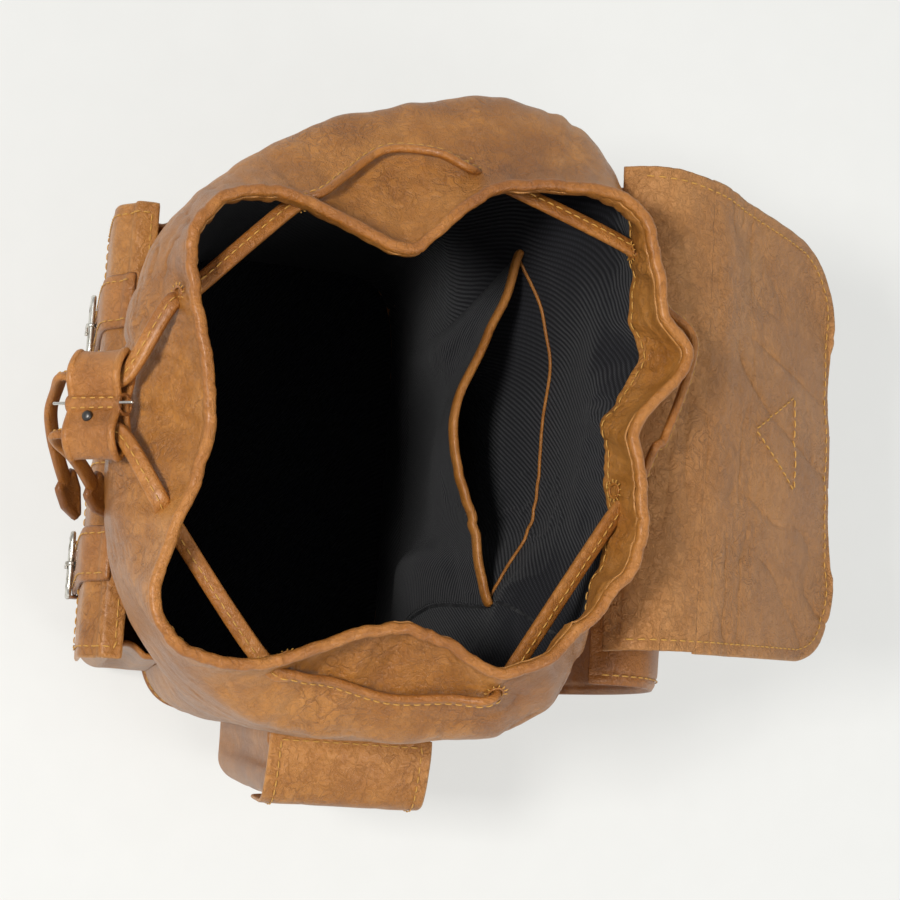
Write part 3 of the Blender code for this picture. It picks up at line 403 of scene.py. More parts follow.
class Tree:
    """Adds nodes to a node tree and joins them."""

    def __init__(self, tree: bpy.types.NodeTree) -> None:
        """Keeps the tree and empties it."""
        self.tree = tree
        tree.nodes.clear()

    def add(self, kind: str, values: Optional[dict] = None, **settings: object) -> bpy.types.Node:
        """Adds a node.

        Args:
            kind: the node's type, without its ShaderNode.
            values: for input sockets, by name or number: a value, or a socket to join.
            settings: the node's own properties.

        Returns:
            The node.
        """
        node = self.tree.nodes.new(kind if kind.startswith("Node") else "ShaderNode" + kind)
        for key, value in settings.items():
            setattr(node, key, value)
        for key, value in (values or {}).items():
            if isinstance(value, bpy.types.NodeSocket):
                self.tree.links.new(value, node.inputs[key])
            else:
                node.inputs[key].default_value = value
        return node

    def math(self, operation: str, *values: object) -> bpy.types.NodeSocket:
        """The result of a maths node."""
        return self.add("Math", dict(enumerate(values)), operation=operation).outputs[0]

    def mix(self, share: object, a: object, b: object, blend: str = "MIX") -> bpy.types.NodeSocket:
        """The result of mixing two colours."""
        node = self.add("Mix", {0: share, 6: a, 7: b}, data_type="RGBA", blend_type=blend)
        return node.outputs[2]

    def surface(self, values: dict) -> None:
        """Joins a principled shader with these values to the material's output."""
        shader = self.add("BsdfPrincipled", values)
        self.add("OutputMaterial", {"Surface": shader.outputs[0]})

    def steps(self, value: object, stops: Sequence[tuple[float, float]]) -> bpy.types.NodeSocket:
        """A grey ramp through (place, level) stops."""
        node = self.add("ValToRGB", {0: value})
        ramp = node.color_ramp
        for place, _ in stops[2:]:
            ramp.elements.new(place)
        for element, (place, level) in zip(ramp.elements, sorted(stops)):
            element.position, element.color = place, (level, level, level, 1.0)
        return self.add("RGBToBW", {0: node.outputs[0]}).outputs[0]


def full(colour: Colour) -> tuple[float, float, float, float]:
    """A colour with its alpha."""
    return (*colour, 1.0)


def group(name: str, inputs: Sequence[tuple[str, str, object]],
          outputs: Sequence[tuple[str, str]]) -> tuple[Tree, bpy.types.Node, bpy.types.Node]:
    """Starts a node group with named sockets.

    Args:
        name: the group's name.
        inputs: (name, socket kind, default) of each.
        outputs: (name, socket kind) of each.

    Returns:
        Its tree, its input node and its output node.
    """
    made = bpy.data.node_groups.new(name, "ShaderNodeTree")
    for label, kind, default in inputs:
        socket = made.interface.new_socket(label, in_out="INPUT", socket_type="NodeSocket" + kind)
        if default is not None:
            socket.default_value = default
    for label, kind in outputs:
        made.interface.new_socket(label, in_out="OUTPUT", socket_type="NodeSocket" + kind)
    tree = Tree(made)
    return tree, tree.add("NodeGroupInput"), tree.add("NodeGroupOutput")


class Effects:
    """Node groups that several finishes share."""

    def __init__(self) -> None:
        """Builds each group once."""
        self.hide = self._hide()
        self.rub = self._rub()
        self.twill = self._twill()

    def _hide(self) -> bpy.types.NodeTree:
        """Leather's surface: pebbles of the grain, pores, crease lines, and slow changes of tone."""
        tree, given, put = group("hide_surface", [("Vector", "Vector", None), ("Grain", "Float", 1000.0),
                                                  ("Creases", "Float", 1.0)],
                                 [("Height", "Float"), ("Tone", "Float"), ("Crease", "Float"),
                                  ("Pores", "Float")])
        where = given.outputs["Vector"]
        bend = tree.add("TexNoise", {"Vector": where, "Scale": 160.0, "Detail": 2.0})
        shift = tree.add("VectorMath", {0: bend.outputs["Color"], 1: (0.5, 0.5, 0.5)},
                         operation="SUBTRACT").outputs[0]
        shift = tree.add("VectorMath", {0: shift, "Scale": 0.0035}, operation="SCALE").outputs[0]
        bent = tree.add("VectorMath", {0: where, 1: shift}, operation="ADD").outputs[0]
        cells = tree.add("TexVoronoi", {"Vector": bent, "Scale": given.outputs["Grain"]},
                         feature="DISTANCE_TO_EDGE").outputs["Distance"]
        pebble = tree.steps(cells, [(0.0, 0.0), (0.12, 0.72), (0.5, 1.0)])
        pits = tree.add("TexVoronoi", {"Vector": where, "Scale": tree.math("MULTIPLY", given.outputs["Grain"], 0.8)}
                        ).outputs["Distance"]
        pores = tree.steps(pits, [(0.0, 1.0), (0.16, 0.0), (1.0, 0.0)])
        fold = tree.add("TexNoise", {"Vector": bent, "Scale": 95.0, "Detail": 3.0, "Distortion": 0.9}).outputs[0]
        fold = tree.math("ABSOLUTE", tree.math("SUBTRACT", fold, 0.5))
        fold = tree.steps(fold, [(0.0, 1.0), (0.018, 0.6), (0.06, 0.0)])
        where_folded = tree.add("TexNoise", {"Vector": where, "Scale": 22.0, "Detail": 2.0}).outputs[0]
        where_folded = tree.steps(where_folded, [(0.42, 0.0), (0.62, 1.0)])
        crease = tree.math("MULTIPLY", tree.math("MULTIPLY", fold, where_folded), given.outputs["Creases"])
        slow = tree.add("TexNoise", {"Vector": where, "Scale": 14.0, "Detail": 4.0, "Roughness": 0.62}).outputs[0]
        fine = tree.add("TexNoise", {"Vector": bent, "Scale": 70.0, "Detail": 4.0, "Roughness": 0.7}).outputs[0]
        tone = tree.math("ADD", tree.math("MULTIPLY", slow, 0.66), tree.math("MULTIPLY", fine, 0.34))
        rough = tree.add("TexNoise", {"Vector": bent, "Scale": 210.0, "Detail": 5.0, "Roughness": 0.62,
                                      "Distortion": 0.5}).outputs[0]
        ridge = tree.math("ABSOLUTE", tree.math("SUBTRACT", rough, 0.5))
        ridge = tree.steps(ridge, [(0.0, 0.0), (0.05, 0.7), (0.2, 1.0)])
        height = tree.math("ADD", tree.math("MULTIPLY", pebble, 0.22), tree.math("MULTIPLY", fine, 1.5))
        height = tree.math("ADD", height, tree.math("MULTIPLY", ridge, 0.55))
        height = tree.math("SUBTRACT", height, tree.math("MULTIPLY", pores, 0.25))
        height = tree.math("SUBTRACT", height, tree.math("MULTIPLY", crease, 0.8))
        for label, value in (("Height", height), ("Tone", tone), ("Crease", crease), ("Pores", pores)):
            tree.tree.links.new(value, put.inputs[label])
        return tree.tree

    def _rub(self) -> bpy.types.NodeTree:
        """Edge wear: the piece's own wear, broken up by fine noise."""
        tree, given, put = group("rubbed_edges", [("Vector", "Vector", None), ("Wear", "Float", 0.0),
                                                  ("Amount", "Float", 1.0)], [("Mask", "Float")])
        patch = tree.add("TexNoise", {"Vector": given.outputs["Vector"], "Scale": 220.0, "Detail": 3.0}).outputs[0]
        mask = tree.math("ADD", given.outputs["Wear"], tree.math("MULTIPLY", tree.math("SUBTRACT", patch, 0.5), 0.7))
        mask = tree.math("MULTIPLY", tree.steps(mask, [(0.35, 0.0), (0.95, 1.0)]), given.outputs["Amount"])
        tree.tree.links.new(mask, put.inputs["Mask"])
        return tree.tree

    def _twill(self) -> bpy.types.NodeTree:
        """A twill weave: slanting ribs, each cut by the threads that cross it, and lint."""
        tree, given, put = group("twill_weave", [("Vector", "Vector", None), ("Rib", "Float", 0.0024)],
                                 [("Height", "Float"), ("Lint", "Float")])
        flat = tree.add("SeparateXYZ", {0: given.outputs["Vector"]})
        u, v = flat.outputs[0], flat.outputs[1]
        sway = tree.add("TexNoise", {"Vector": given.outputs["Vector"], "Scale": 60.0, "Detail": 2.0}).outputs[0]
        sway = tree.math("MULTIPLY", sway, 0.9)
        slant = tree.math("ADD", u, tree.math("MULTIPLY", v, 0.8))
        turn = tree.math("DIVIDE", tree.math("MULTIPLY", slant, 2 * math.pi), given.outputs["Rib"])
        rib = tree.math("MULTIPLY_ADD", tree.math("SINE", tree.math("ADD", turn, sway)), 0.5, 0.5)
        pick = tree.math("SUBTRACT", tree.math("MULTIPLY", u, 0.45), v)
        turn = tree.math("DIVIDE", tree.math("MULTIPLY", pick, 2 * math.pi),
                         tree.math("MULTIPLY", given.outputs["Rib"], 0.42))
        cross = tree.math("MULTIPLY_ADD", tree.math("SINE", tree.math("ADD", turn, sway)), 0.5, 0.5)
        height = tree.math("ADD", tree.math("MULTIPLY", rib, 0.7),
                           tree.math("MULTIPLY", tree.math("MULTIPLY", rib, cross), 0.5))
        lint = tree.add("TexVoronoi", {"Vector": given.outputs["Vector"], "Scale": 130.0, "Randomness": 1.0}
                        ).outputs["Distance"]
        lint = tree.steps(lint, [(0.0, 1.0), (0.045, 0.0), (1.0, 0.0)])
        for label, value in (("Height", height), ("Lint", lint)):
            tree.tree.links.new(value, put.inputs[label])
        return tree.tree


def new_material(name: str) -> tuple[bpy.types.Material, Tree]:
    """A material with an empty node tree."""
    made = bpy.data.materials.new(name)
    made.use_nodes = True
    return made, Tree(made.node_tree)


@dataclass(frozen=True)
class Leather:
    """Vegetable-tanned cowhide with a waxed, pulled-up surface.

    base is its usual colour, deep where it is dark and painted shade in its crease lines, and pale where it is
    stretched or rubbed.
    """

    name: str
    base: Colour
    deep: Colour
    pale: Colour
    grain: float = 1050.0
    creased: float = 1.0
    bump: float = 0.0006
    roughness: float = 0.39
    coat: float = 0.14
    edge: Optional[Colour] = None

    def make(self, effects: Effects) -> bpy.types.Material:
        """Builds the leather's material."""
        made, tree = new_material(self.name)
        where = tree.add("TexCoord").outputs["Object"]
        wear = tree.add("Attribute", attribute_name="wear").outputs["Fac"]
        hide = tree.add("Group", {}, node_tree=effects.hide)
        rub = tree.add("Group", {}, node_tree=effects.rub)
        for node in (hide, rub):
            tree.tree.links.new(where, node.inputs["Vector"])
        tree.tree.links.new(wear, rub.inputs["Wear"])
        hide.inputs["Grain"].default_value = self.grain
        hide.inputs["Creases"].default_value = self.creased
        rub.inputs["Amount"].default_value = 0.75
        tone = hide.outputs["Tone"]
        colour = tree.mix(tree.steps(tone, [(0.30, 0.0), (0.56, 1.0)]), full(self.deep), full(self.base))
        colour = tree.mix(tree.math("MULTIPLY", tree.steps(tone, [(0.5, 0.0), (0.7, 1.0)]), 0.45),
                          colour, full(self.pale))
        # Painted shade: the crease lines are darkened towards the deep colour.
        colour = tree.mix(tree.math("MULTIPLY", hide.outputs["Crease"], 0.5), colour, full(self.deep))
        colour = tree.mix(tree.math("MULTIPLY", hide.outputs["Pores"], 0.3), colour, full(self.deep))
        colour = tree.mix(rub.outputs["Mask"], colour, full(self.edge or self.pale))
        rough = tree.math("ADD", tree.math("MULTIPLY", tone, 0.22), self.roughness - 0.11)
        rough = tree.math("SUBTRACT", rough, tree.math("MULTIPLY", rub.outputs["Mask"], 0.08))
        bump = tree.add("Bump", {"Height": hide.outputs["Height"], "Distance": self.bump, "Strength": 0.9})
        tree.surface({"Base Color": colour, "Roughness": rough,
                      "Normal": bump.outputs[0], "Coat Weight": self.coat,
                      "Coat Roughness": 0.34, "Specular IOR Level": 0.42})
        return made


@dataclass(frozen=True)
class Twill:
    """Cotton twill cloth."""

    name: str
    base: Colour
    rib: Colour
    pitch: float = 0.0024

    def make(self, effects: Effects) -> bpy.types.Material:
        """Builds the cloth's material, on the piece's own chart."""
        made, tree = new_material(self.name)
        where = tree.add("UVMap").outputs[0]
        weave = tree.add("Group", {}, node_tree=effects.twill)
        tree.tree.links.new(where, weave.inputs["Vector"])
        weave.inputs["Rib"].default_value = self.pitch
        fade = tree.add("TexNoise", {"Vector": where, "Scale": 18.0, "Detail": 4.0}).outputs[0]
        colour = tree.mix(tree.math("MULTIPLY", weave.outputs["Height"], 0.8), full(self.base), full(self.rib))
        colour = tree.mix(tree.steps(fade, [(0.35, 0.35), (0.7, 0.0)]), colour, full(self.base))
        colour = tree.mix(tree.math("MULTIPLY", weave.outputs["Lint"], 0.5), colour, full((0.05, 0.05, 0.055)))
        bump = tree.add("Bump", {"Height": weave.outputs["Height"], "Distance": 0.0005, "Strength": 1.0})
        tree.surface({"Base Color": colour, "Roughness": 0.85, "Normal": bump.outputs[0],
                      "Sheen Weight": 0.06, "Sheen Roughness": 0.5,
                      "Specular IOR Level": 0.25})
        return made


@dataclass(frozen=True)
class Thread:
    """Waxed sewing thread of three twisted strands."""

    name: str
    base: Colour
    shade: Colour

    def make(self, effects: Effects) -> bpy.types.Material:
        """Builds the thread's material: the twist is a slanting wave on the stitch's chart, with painted shade in the
        grooves between the strands.
        """
        made, tree = new_material(self.name)
        where = tree.add("UVMap").outputs[0]
        flat = tree.add("SeparateXYZ", {0: where})
        slant = tree.math("ADD", flat.outputs[0], flat.outputs[1])
        wave = tree.math("MULTIPLY_ADD", tree.math("SINE", tree.math("MULTIPLY", slant, 7000.0)), 0.5, 0.5)
        patch = tree.add("TexNoise", {"Vector": tree.add("TexCoord").outputs["Object"], "Scale": 90.0}).outputs[0]
        # Painted shade: the twist's grooves take the shade colour and its crests the base colour.
        colour = tree.mix(wave, full(self.shade), full(self.base))
        # Random patches of the same darker colour, as tone.
        colour = tree.mix(tree.math("MULTIPLY", patch, 0.5), colour, full(self.shade))
        bump = tree.add("Bump", {"Height": wave, "Distance": 0.00012, "Strength": 0.8})
        tree.surface({"Base Color": colour, "Roughness": 0.55, "Normal": bump.outputs[0]})
        return made


@dataclass(frozen=True)
class Metal:
    """Plated metal with tarnish in patches and fine scratches."""

    name: str
    base: Colour
    tarnish: Colour
    roughness: float = 0.26

    def make(self, effects: Effects) -> bpy.types.Material:
        """Builds the metal's material."""
        made, tree = new_material(self.name)
        where = tree.add("TexCoord").outputs["Object"]
        patch = tree.add("TexNoise", {"Vector": where, "Scale": 180.0, "Detail": 5.0}).outputs[0]
        dull = tree.steps(patch, [(0.45, 0.0), (0.66, 1.0)])
        scratch = tree.add("TexNoise", {"Vector": tree.add("Mapping", {0: where, "Scale": (1.0, 14.0, 3.0)}).outputs[0],
                                        "Scale": 300.0, "Detail": 2.0}).outputs[0]
        colour = tree.mix(dull, full(self.base), full(self.tarnish))
        rough = tree.math("ADD", tree.math("MULTIPLY", dull, 0.25), self.roughness)
        bump = tree.add("Bump", {"Height": scratch, "Distance": 0.00004, "Strength": 0.5})
        tree.surface({"Base Color": colour, "Metallic": 1.0, "Roughness": rough,
                      "Normal": bump.outputs[0]})
        return made


@dataclass(frozen=True)
class Board:
    """Grey-brown fibre board."""

    name: str
    base: Colour

    def make(self, effects: Effects) -> bpy.types.Material:
        """Builds the board's material, with short fibres and specks."""
        made, tree = new_material(self.name)
        where = tree.add("TexCoord").outputs["Object"]
        fibre = tree.add("TexNoise", {"Vector": tree.add("Mapping", {0: where, "Scale": (1.0, 5.0, 1.0)}).outputs[0],
                                      "Scale": 260.0, "Detail": 4.0}).outputs[0]
        colour = tree.mix(fibre, full(tuple(c * 0.6 for c in self.base)), full(self.base))
        bump = tree.add("Bump", {"Height": fibre, "Distance": 0.0002})
        tree.surface({"Base Color": colour, "Roughness": 0.9, "Normal": bump.outputs[0]})
        return made


@dataclass(frozen=True)
class Palette:
    """Every finish of the bag, made once."""

    hide: bpy.types.Material
    flesh: bpy.types.Material
    rim: bpy.types.Material
    strap: bpy.types.Material
    cloth: bpy.types.Material
    thread: bpy.types.Material
    metal: bpy.types.Material
    dark_metal_and_hole_shade: bpy.types.Material
    board: bpy.types.Material

    @staticmethod
    def mix_up() -> "Palette":
        """Makes the finishes."""
        effects = Effects()
        tan, deep, pale = (0.37, 0.145, 0.024), (0.20, 0.068, 0.010), (0.54, 0.255, 0.075)
        return Palette(
            hide=Leather("tan_hide", tan, deep, pale).make(effects),
            flesh=Leather("flap_underside", (0.425, 0.188, 0.054), (0.30, 0.122, 0.030), (0.50, 0.245, 0.086),
                          grain=1400.0, creased=1.0, bump=0.0009, roughness=0.50, coat=0.04).make(effects),
            rim=Leather("rolled_rim", (0.36, 0.132, 0.019), (0.21, 0.066, 0.008), (0.54, 0.24, 0.065),
                        creased=0.5, roughness=0.40, coat=0.2).make(effects),
            strap=Leather("strap_leather", (0.33, 0.122, 0.021), (0.19, 0.062, 0.009), (0.49, 0.215, 0.060),
                          creased=0.4, roughness=0.43, coat=0.16, edge=(0.20, 0.07, 0.02)).make(effects),
            cloth=Twill("navy_twill", (0.0042, 0.0042, 0.0055), (0.0150, 0.0150, 0.0190)).make(effects),
            thread=Thread("ochre_thread", (0.66, 0.36, 0.075), (0.40, 0.19, 0.03)).make(effects),
            metal=Metal("antique_silver_plate", (0.70, 0.68, 0.62), (0.22, 0.19, 0.15)).make(effects),
            # The dark stud's metal, also used as painted shade inside the punched strap holes.
            dark_metal_and_hole_shade=Metal("dark_stud_and_hole_shade", (0.10, 0.095, 0.09), (0.04, 0.035, 0.03), 0.35).make(effects),
            board=Board("base_board", (0.30, 0.24, 0.17)).make(effects),
        )


# ---------------------------------------------------------------- the body's shape

class RoundCurve:
    """A smooth closed curve through (angle in degrees, radius) points: a cubic from point to point."""

    def __init__(self, table: Sequence[tuple[float, float]]) -> None:
        """Sorts the points and repeats three past each end."""
        turns, radii = (np.array(column, dtype=float) for column in zip(*sorted(table)))
        self.turns = np.concatenate([turns[-3:] - 360, turns, turns[:3] + 360])
        self.radii = np.concatenate([radii[-3:], radii, radii[:3]])

    def __call__(self, degrees: Array) -> Array:
        """The radius at each angle."""
        degrees = (np.asarray(degrees, dtype=float) + 180.0) % 360.0 - 180.0
        i = np.searchsorted(self.turns, degrees, side="right") - 1
        a, r = self.turns, self.radii
        width = a[i + 1] - a[i]
        t = (degrees - a[i]) / width
        start = (r[i + 1] - r[i - 1]) / (a[i + 1] - a[i - 1]) * width
        end = (r[i + 2] - r[i]) / (a[i + 2] - a[i]) * width
        return ((2 * t ** 3 - 3 * t ** 2 + 1) * r[i] + (t ** 3 - 2 * t ** 2 + t) * start
                + (3 * t ** 2 - 2 * t ** 3) * r[i + 1] + (t ** 3 - t ** 2) * end)


class Wall:
    """The bag's walls as a function of angle and height, with the folds that the leather takes.

    Low down the section is |x/side|^n + |y/depth|^n = 1. It eases into the bulge's own curve,
    and that eases into the mouth's.
    """

    LEVELS = np.array([0.0, 60.0, 130.0, 200.0, 270.0])
    ROWS = np.array([(143, 74, 76, 6.0), (148, 80, 80, 5.4), (153, 89, 86, 4.8), (156, 98, 91, 4.2),
                     (160, 128, 100, 3.4)])
    BULGE = RoundCurve((
        (-175, 155), (-157, 147), (-140, 143), (-125, 143), (-108, 138), (-90, 133), (-72, 142),
        (-58, 154), (-45, 163), (-25, 173), (-10, 172), (12, 171), (25, 175), (38, 167), (62, 124),
        (90, 108), (118, 130), (136, 168), (148, 182), (157, 180), (168, 171), (177, 161)))
    MOUTH = RoundCurve((
        (-168, 82), (-151, 106), (-138, 135), (-125, 144), (-113, 129), (-98, 110), (-80, 107),
        (-66, 123), (-48, 163), (-32, 148), (-16, 113), (-3, 104), (8, 110), (22, 130), (45, 127),
        (62, 126), (76, 117), (88, 108), (97, 113), (108, 141), (118, 136), (138, 155), (152, 139),
        (167, 119), (180, 92)))
    TOP = 344.0
    LEATHER = 2.2
    LINING_TOP = 304.7
    SLACK = ((142.0, 17.0, 32.0), (40.0, 17.0, 36.0))

    def centre(self, z: Array) -> Array:
        """The middle that radii are measured from."""
        swell, gather = ease(z, 170, 270), ease(z, 284, self.TOP)
        low = np.array([-8.0, 0.0])
        return low * (swell * (1 - gather))[..., None] + MIDDLE * gather[..., None]

    def radius(self, degrees: Array, z: Array) -> Array:
        """The outer wall's radius, without folds."""
        side, front, back, square = (np.interp(z, self.LEVELS, self.ROWS[:, k]) for k in range(4))
        turn = np.radians(degrees)
        c, s = np.cos(turn), np.sin(turn)
        depth = np.where(s < 0, front, back)
        low = (np.abs(c / side) ** square + np.abs(s / depth) ** square) ** (-1 / square)
        swell, gather = ease(z, 170, 270), ease(z, 284, self.TOP)
        wide = low + (self.BULGE(degrees) - low) * swell
        return wide + (self.MOUTH(degrees) - wide) * gather

    def folds(self, degrees: Array, z: Array) -> Array:
        """How far the leather's folds stand out.

        Soft sags come from slow noise. Gathers are sine waves round the mouth, with a wandering
        phase, that grow from the bulge to the string and fade under the rim. Creases cut in.
        """
        turn = np.radians(degrees)
        spot = np.stack([150 * np.cos(turn), 120 * np.sin(turn), z + 0 * turn], axis=-1)
        long = spot * np.array([1.0, 1.0, 0.33])
        sag = 2.4 * cloud(spot, 85, 2, 1) * ease(z, 4, 70) * (1 - 0.55 * ease(z, 300, 340))
        wander = 3.1 * noise(long, 42, 5)
        gather = np.sin(27 * turn + wander) * (0.55 + 0.45 * noise(long, 55, 9))
        gather += 0.45 * np.sin(61 * turn + 2 * wander) * (0.5 + 0.5 * noise(long, 30, 13))
        gather *= 2.1 * ease(z, 258, 322) * (1 - 0.55 * ease(z, 332, 344))
        pleat = np.sin(118 * turn + 5 * noise(long, 26, 37)) * ease(noise(long, 40, 41), -0.3, 0.5)
        gather += 0.5 * pleat * ease(z, 285, 330) * (1 - 0.4 * ease(z, 338, 344))
        deep = -2.6 * creases(spot * np.array([1.0, 1.0, 0.45]), 40, 21, 7.0) * ease(z, 120, 300)
        deep -= 1.7 * creases(spot * np.array([1.0, 1.0, 1.6]), 21, 27, 6.5) * ease(z, 60, 260)
        deep *= 0.35 + 0.65 * ease(noise(spot, 60, 25), -0.2, 0.6)
        fine = 0.5 * cloud(spot, 12, 3, 31)
        return sag + gather + deep + fine

    def place(self, degrees: Array, z: Array, out: Array = 0.0, folded: float = 1.0) -> Array:
        """Points on the wall, moved out along the radius by a distance and a share of the folds."""
        degrees, z = np.broadcast_arrays(np.asarray(degrees, dtype=float), np.asarray(z, dtype=float))
        r = self.radius(degrees, z) + out + (folded * self.folds(degrees, z) if folded else 0.0)
        turn = np.radians(degrees)
        centre = self.centre(z)
        return np.stack([centre[..., 0] + r * np.cos(turn), centre[..., 1] + r * np.sin(turn), z], axis=-1)

    def off(self, degrees: float, z: float, out: float, inset: float = 0.0) -> Array:
        """A point off the plain wall along its normal, from a surface inside it by an inset."""
        here = self.place(degrees, z, -inset, 0)
        across = self.place(degrees + 1, z, -inset, 0) - self.place(degrees - 1, z, -inset, 0)
        rise = self.place(degrees, z + 1, -inset, 0) - self.place(degrees, z - 1, -inset, 0)
        return here + unit(np.cross(across, rise)) * out

    def seams(self, z: Array) -> tuple[Array, Array]:
        """The angles of the right and the left seam."""
        share = np.asarray(z, dtype=float) / self.TOP
        return 28.0 + 17.0 * share, 152.0 + share

    def slack(self, degrees: Array, z: Array) -> Array:
        """How far the lining hangs inside the wall: a bell curve at each back corner."""
        height = ease(z, 20, 150) * (1 - ease(z, 250, self.LINING_TOP))
        return height * sum(d * np.exp(-((degrees % 360.0 - a) / w) ** 2) for a, w, d in self.SLACK)

    def ring(self, heights: Array, columns: int, out: float, folded: float = 1.0) -> Array:
        """A grid all round the bag, counter-clockwise from the right seam, a row for each height."""
        right, _ = self.seams(heights)
        turns = right[:, None] + np.linspace(0, 360, columns, endpoint=False)[None]
        return self.place(turns, heights[:, None], out, folded)

    def front_at(self, x: Array, z: float) -> Array:
        """The front wall's y at some x, at one height."""
        walls = self.place(np.arange(-165.0, -14.0), z, 0.0, 0)
        return np.interp(x, walls[:, 0], walls[:, 1])

    def side_at(self, y: Array, z: float, side: Side) -> Array:
        """How far out a side wall is at some y, at one height."""
        walls = self.place((0 if side is Side.RIGHT else 180) + np.arange(-72.0, 73.0), z, 0.0, 0)
        walls = walls[np.argsort(walls[:, 1])]
        return np.interp(y, walls[:, 1], walls[:, 0] * side.value)


@dataclass
class Strip:
    """A strap or flap: straight across x, and along a line in (y, z).

    Its outer side is to the right of its run. The far end's corners are round.
    """

    line: Array
    low: float
    high: float
    corner: float = 0.0
    taper: float = 0.0

    def __post_init__(self) -> None:
        """Measures the line."""
        self.along = lengths(self.line)
        self.slope = unit(np.gradient(self.line, axis=0))

    @property
    def end(self) -> float:
        """The line's length."""
        return float(self.along[-1])

    def at(self, x: Array, s: Array, lift: Array = 0.0) -> Array:
        """Points at x and at a distance along the line, lifted off it on the outer side."""
        y, z, dy, dz = (np.interp(s, self.along, a) for a in (*self.line.T, *self.slope.T))
        return np.stack(np.broadcast_arrays(x, y + dz * lift, z - dy * lift), axis=-1)

    def outward(self, s: Array) -> Array:
        """The outer side's normals at some distances."""
        dy, dz = (np.interp(s, self.along, a) for a in self.slope.T)
        return unit(np.stack(np.broadcast_arrays(0.0 * np.asarray(s), dz, -dy), axis=-1))

    def inset(self, s: Array, margin: float = 0.0) -> Array:
        """How far the strip's side is in from its widest: a taper, and a quarter circle at the end."""
        corner = max(self.corner - margin, 0.0)
        left = np.clip(corner - (self.end - margin - s), 0.0, corner)
        return margin + self.taper * s / self.end + corner - np.sqrt(corner ** 2 - left ** 2)

    def grid(self, rows: int, columns: int) -> tuple[Array, Array, Array]:
        """A grid of (across from -1 to 1, distance along, x)."""
        s = np.linspace(0, 1, rows)
        if self.corner:
            bend = max(self.end - self.corner, 1.0)
            last = rows // 3
            s = np.concatenate([np.linspace(0, bend, rows - last, endpoint=False),
                                bend + self.corner * np.sin(np.linspace(0, math.pi / 2, last))])
        else:
            s = s * self.end
        u = np.linspace(-1, 1, columns)
        middle, half = (self.low + self.high) / 2, (self.high - self.low) / 2
        return (*np.broadcast_arrays(u[None], s[:, None]),
                middle + u[None] * (half - self.inset(s))[:, None])

    def row(self, margin: float, start: float = 0.0, lift: float = 0.0, step: float = 2.0,
            closed: bool = False) -> tuple[Array, Array]:
        """A stitching line inside the edge: down one side, across the end and up the other.

        Args:
            margin: its distance from the edge.
            start: the distance along the strip at which it starts.
            lift: its height over the line.
            step: the spacing of its points.
            closed: whether it also runs across the start.

        Returns:
            Its points and the normals there.
        """
        s = np.linspace(start, self.end - margin, 240)
        x_in = self.inset(s, margin)
        left, right = self.low + x_in, self.high - x_in
        x = np.concatenate([left, np.linspace(left[-1], right[-1], 40)[1:-1], right[::-1]])
        s = np.concatenate([s, np.full(38, s[-1]), s[::-1]])
        if closed:
            x, s = np.append(x, x[0]), np.append(s, s[0])
        both = spaced(np.concatenate([self.at(x, s, lift), self.outward(s)], axis=1), step)
        return both[:, :3], unit(both[:, 3:])

    def sheet(self, thick: float, rows: int, columns: int, bow: float = 0.0, rough: float = 0.5,
              seed: int = 0) -> Shape:
        """The strip as a closed sheet.

        Args:
            thick: its thickness.
            rows: points along it.
            columns: points across it.
            bow: how far its long edges bend in, by the sixth power of the distance across.
            rough: how wavy it is.
            seed: picks other waves.

        Returns:
            The sheet.
        """
        u, s, x = self.grid(rows, columns)
        spot = self.at(x, s)
        lift = rough * cloud(spot, 34, 3, seed) * ease(s, 0, 10) - bow * np.abs(u) ** 6
        lift = lift - rough * 0.6 * creases(spot * np.array([0.5, 1, 1]), 22, seed + 5) * ease(s, 5, 20)
        edge = np.clip(1 - (self.end - s) / 3.0, 0, 1)
        wear = np.maximum(ease(np.abs(u), 0.93, 1.0), edge) * 0.5 + 0.18 * ease(lift, 0.1, 1.0)
        return sheet(self.at(x, s, lift), thick, chart=np.stack([x, s], axis=-1), wear=wear)


# ---------------------------------------------------------------- making pieces

class Maker:
    """What every sub-assembly shares: the walls, the finishes, and how a piece is put in place."""

    def __init__(self, wall: Wall, palette: Palette) -> None:
        """Keeps the walls and the finishes."""
        self.wall = wall
        self.finishes = palette
        self.count = 0

    def keep(self, shape: Shape, name: str, finish: bpy.types.Material, body: str = "root",
             nodes: Sequence[str] = (), slot: str = "",
             bend: Optional[tuple] = None) -> bpy.types.Object:
        """Builds a piece and ties it to the frame.

        Args:
            Builds a piece and ties it to its body; a piece with a bend is only baked in place.
            name: its name.
            finish: its material.
            body: the body that it rides on.
            nodes: the CAD nodes that it stands for.
            slot: the record's material slot, if it has one. Not used.
            bend: for a piece across a joint: the other body, and where its bend starts and ends,
            in millimetres. These are not used, and such a piece is tied to no body.

        Returns:
            The piece.
        """
        piece = shape.build(name, finish)
        if bend:
            other, start, end = bend
            [v * MM for v in start]
            [v * MM for v in end]
            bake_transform(piece)
        else:
            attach(piece, body)
        if nodes:
            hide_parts(*nodes)
        self.count += 1
        log.info("%s: %d faces, on %s", name, len(piece.data.polygons), body)
        return piece


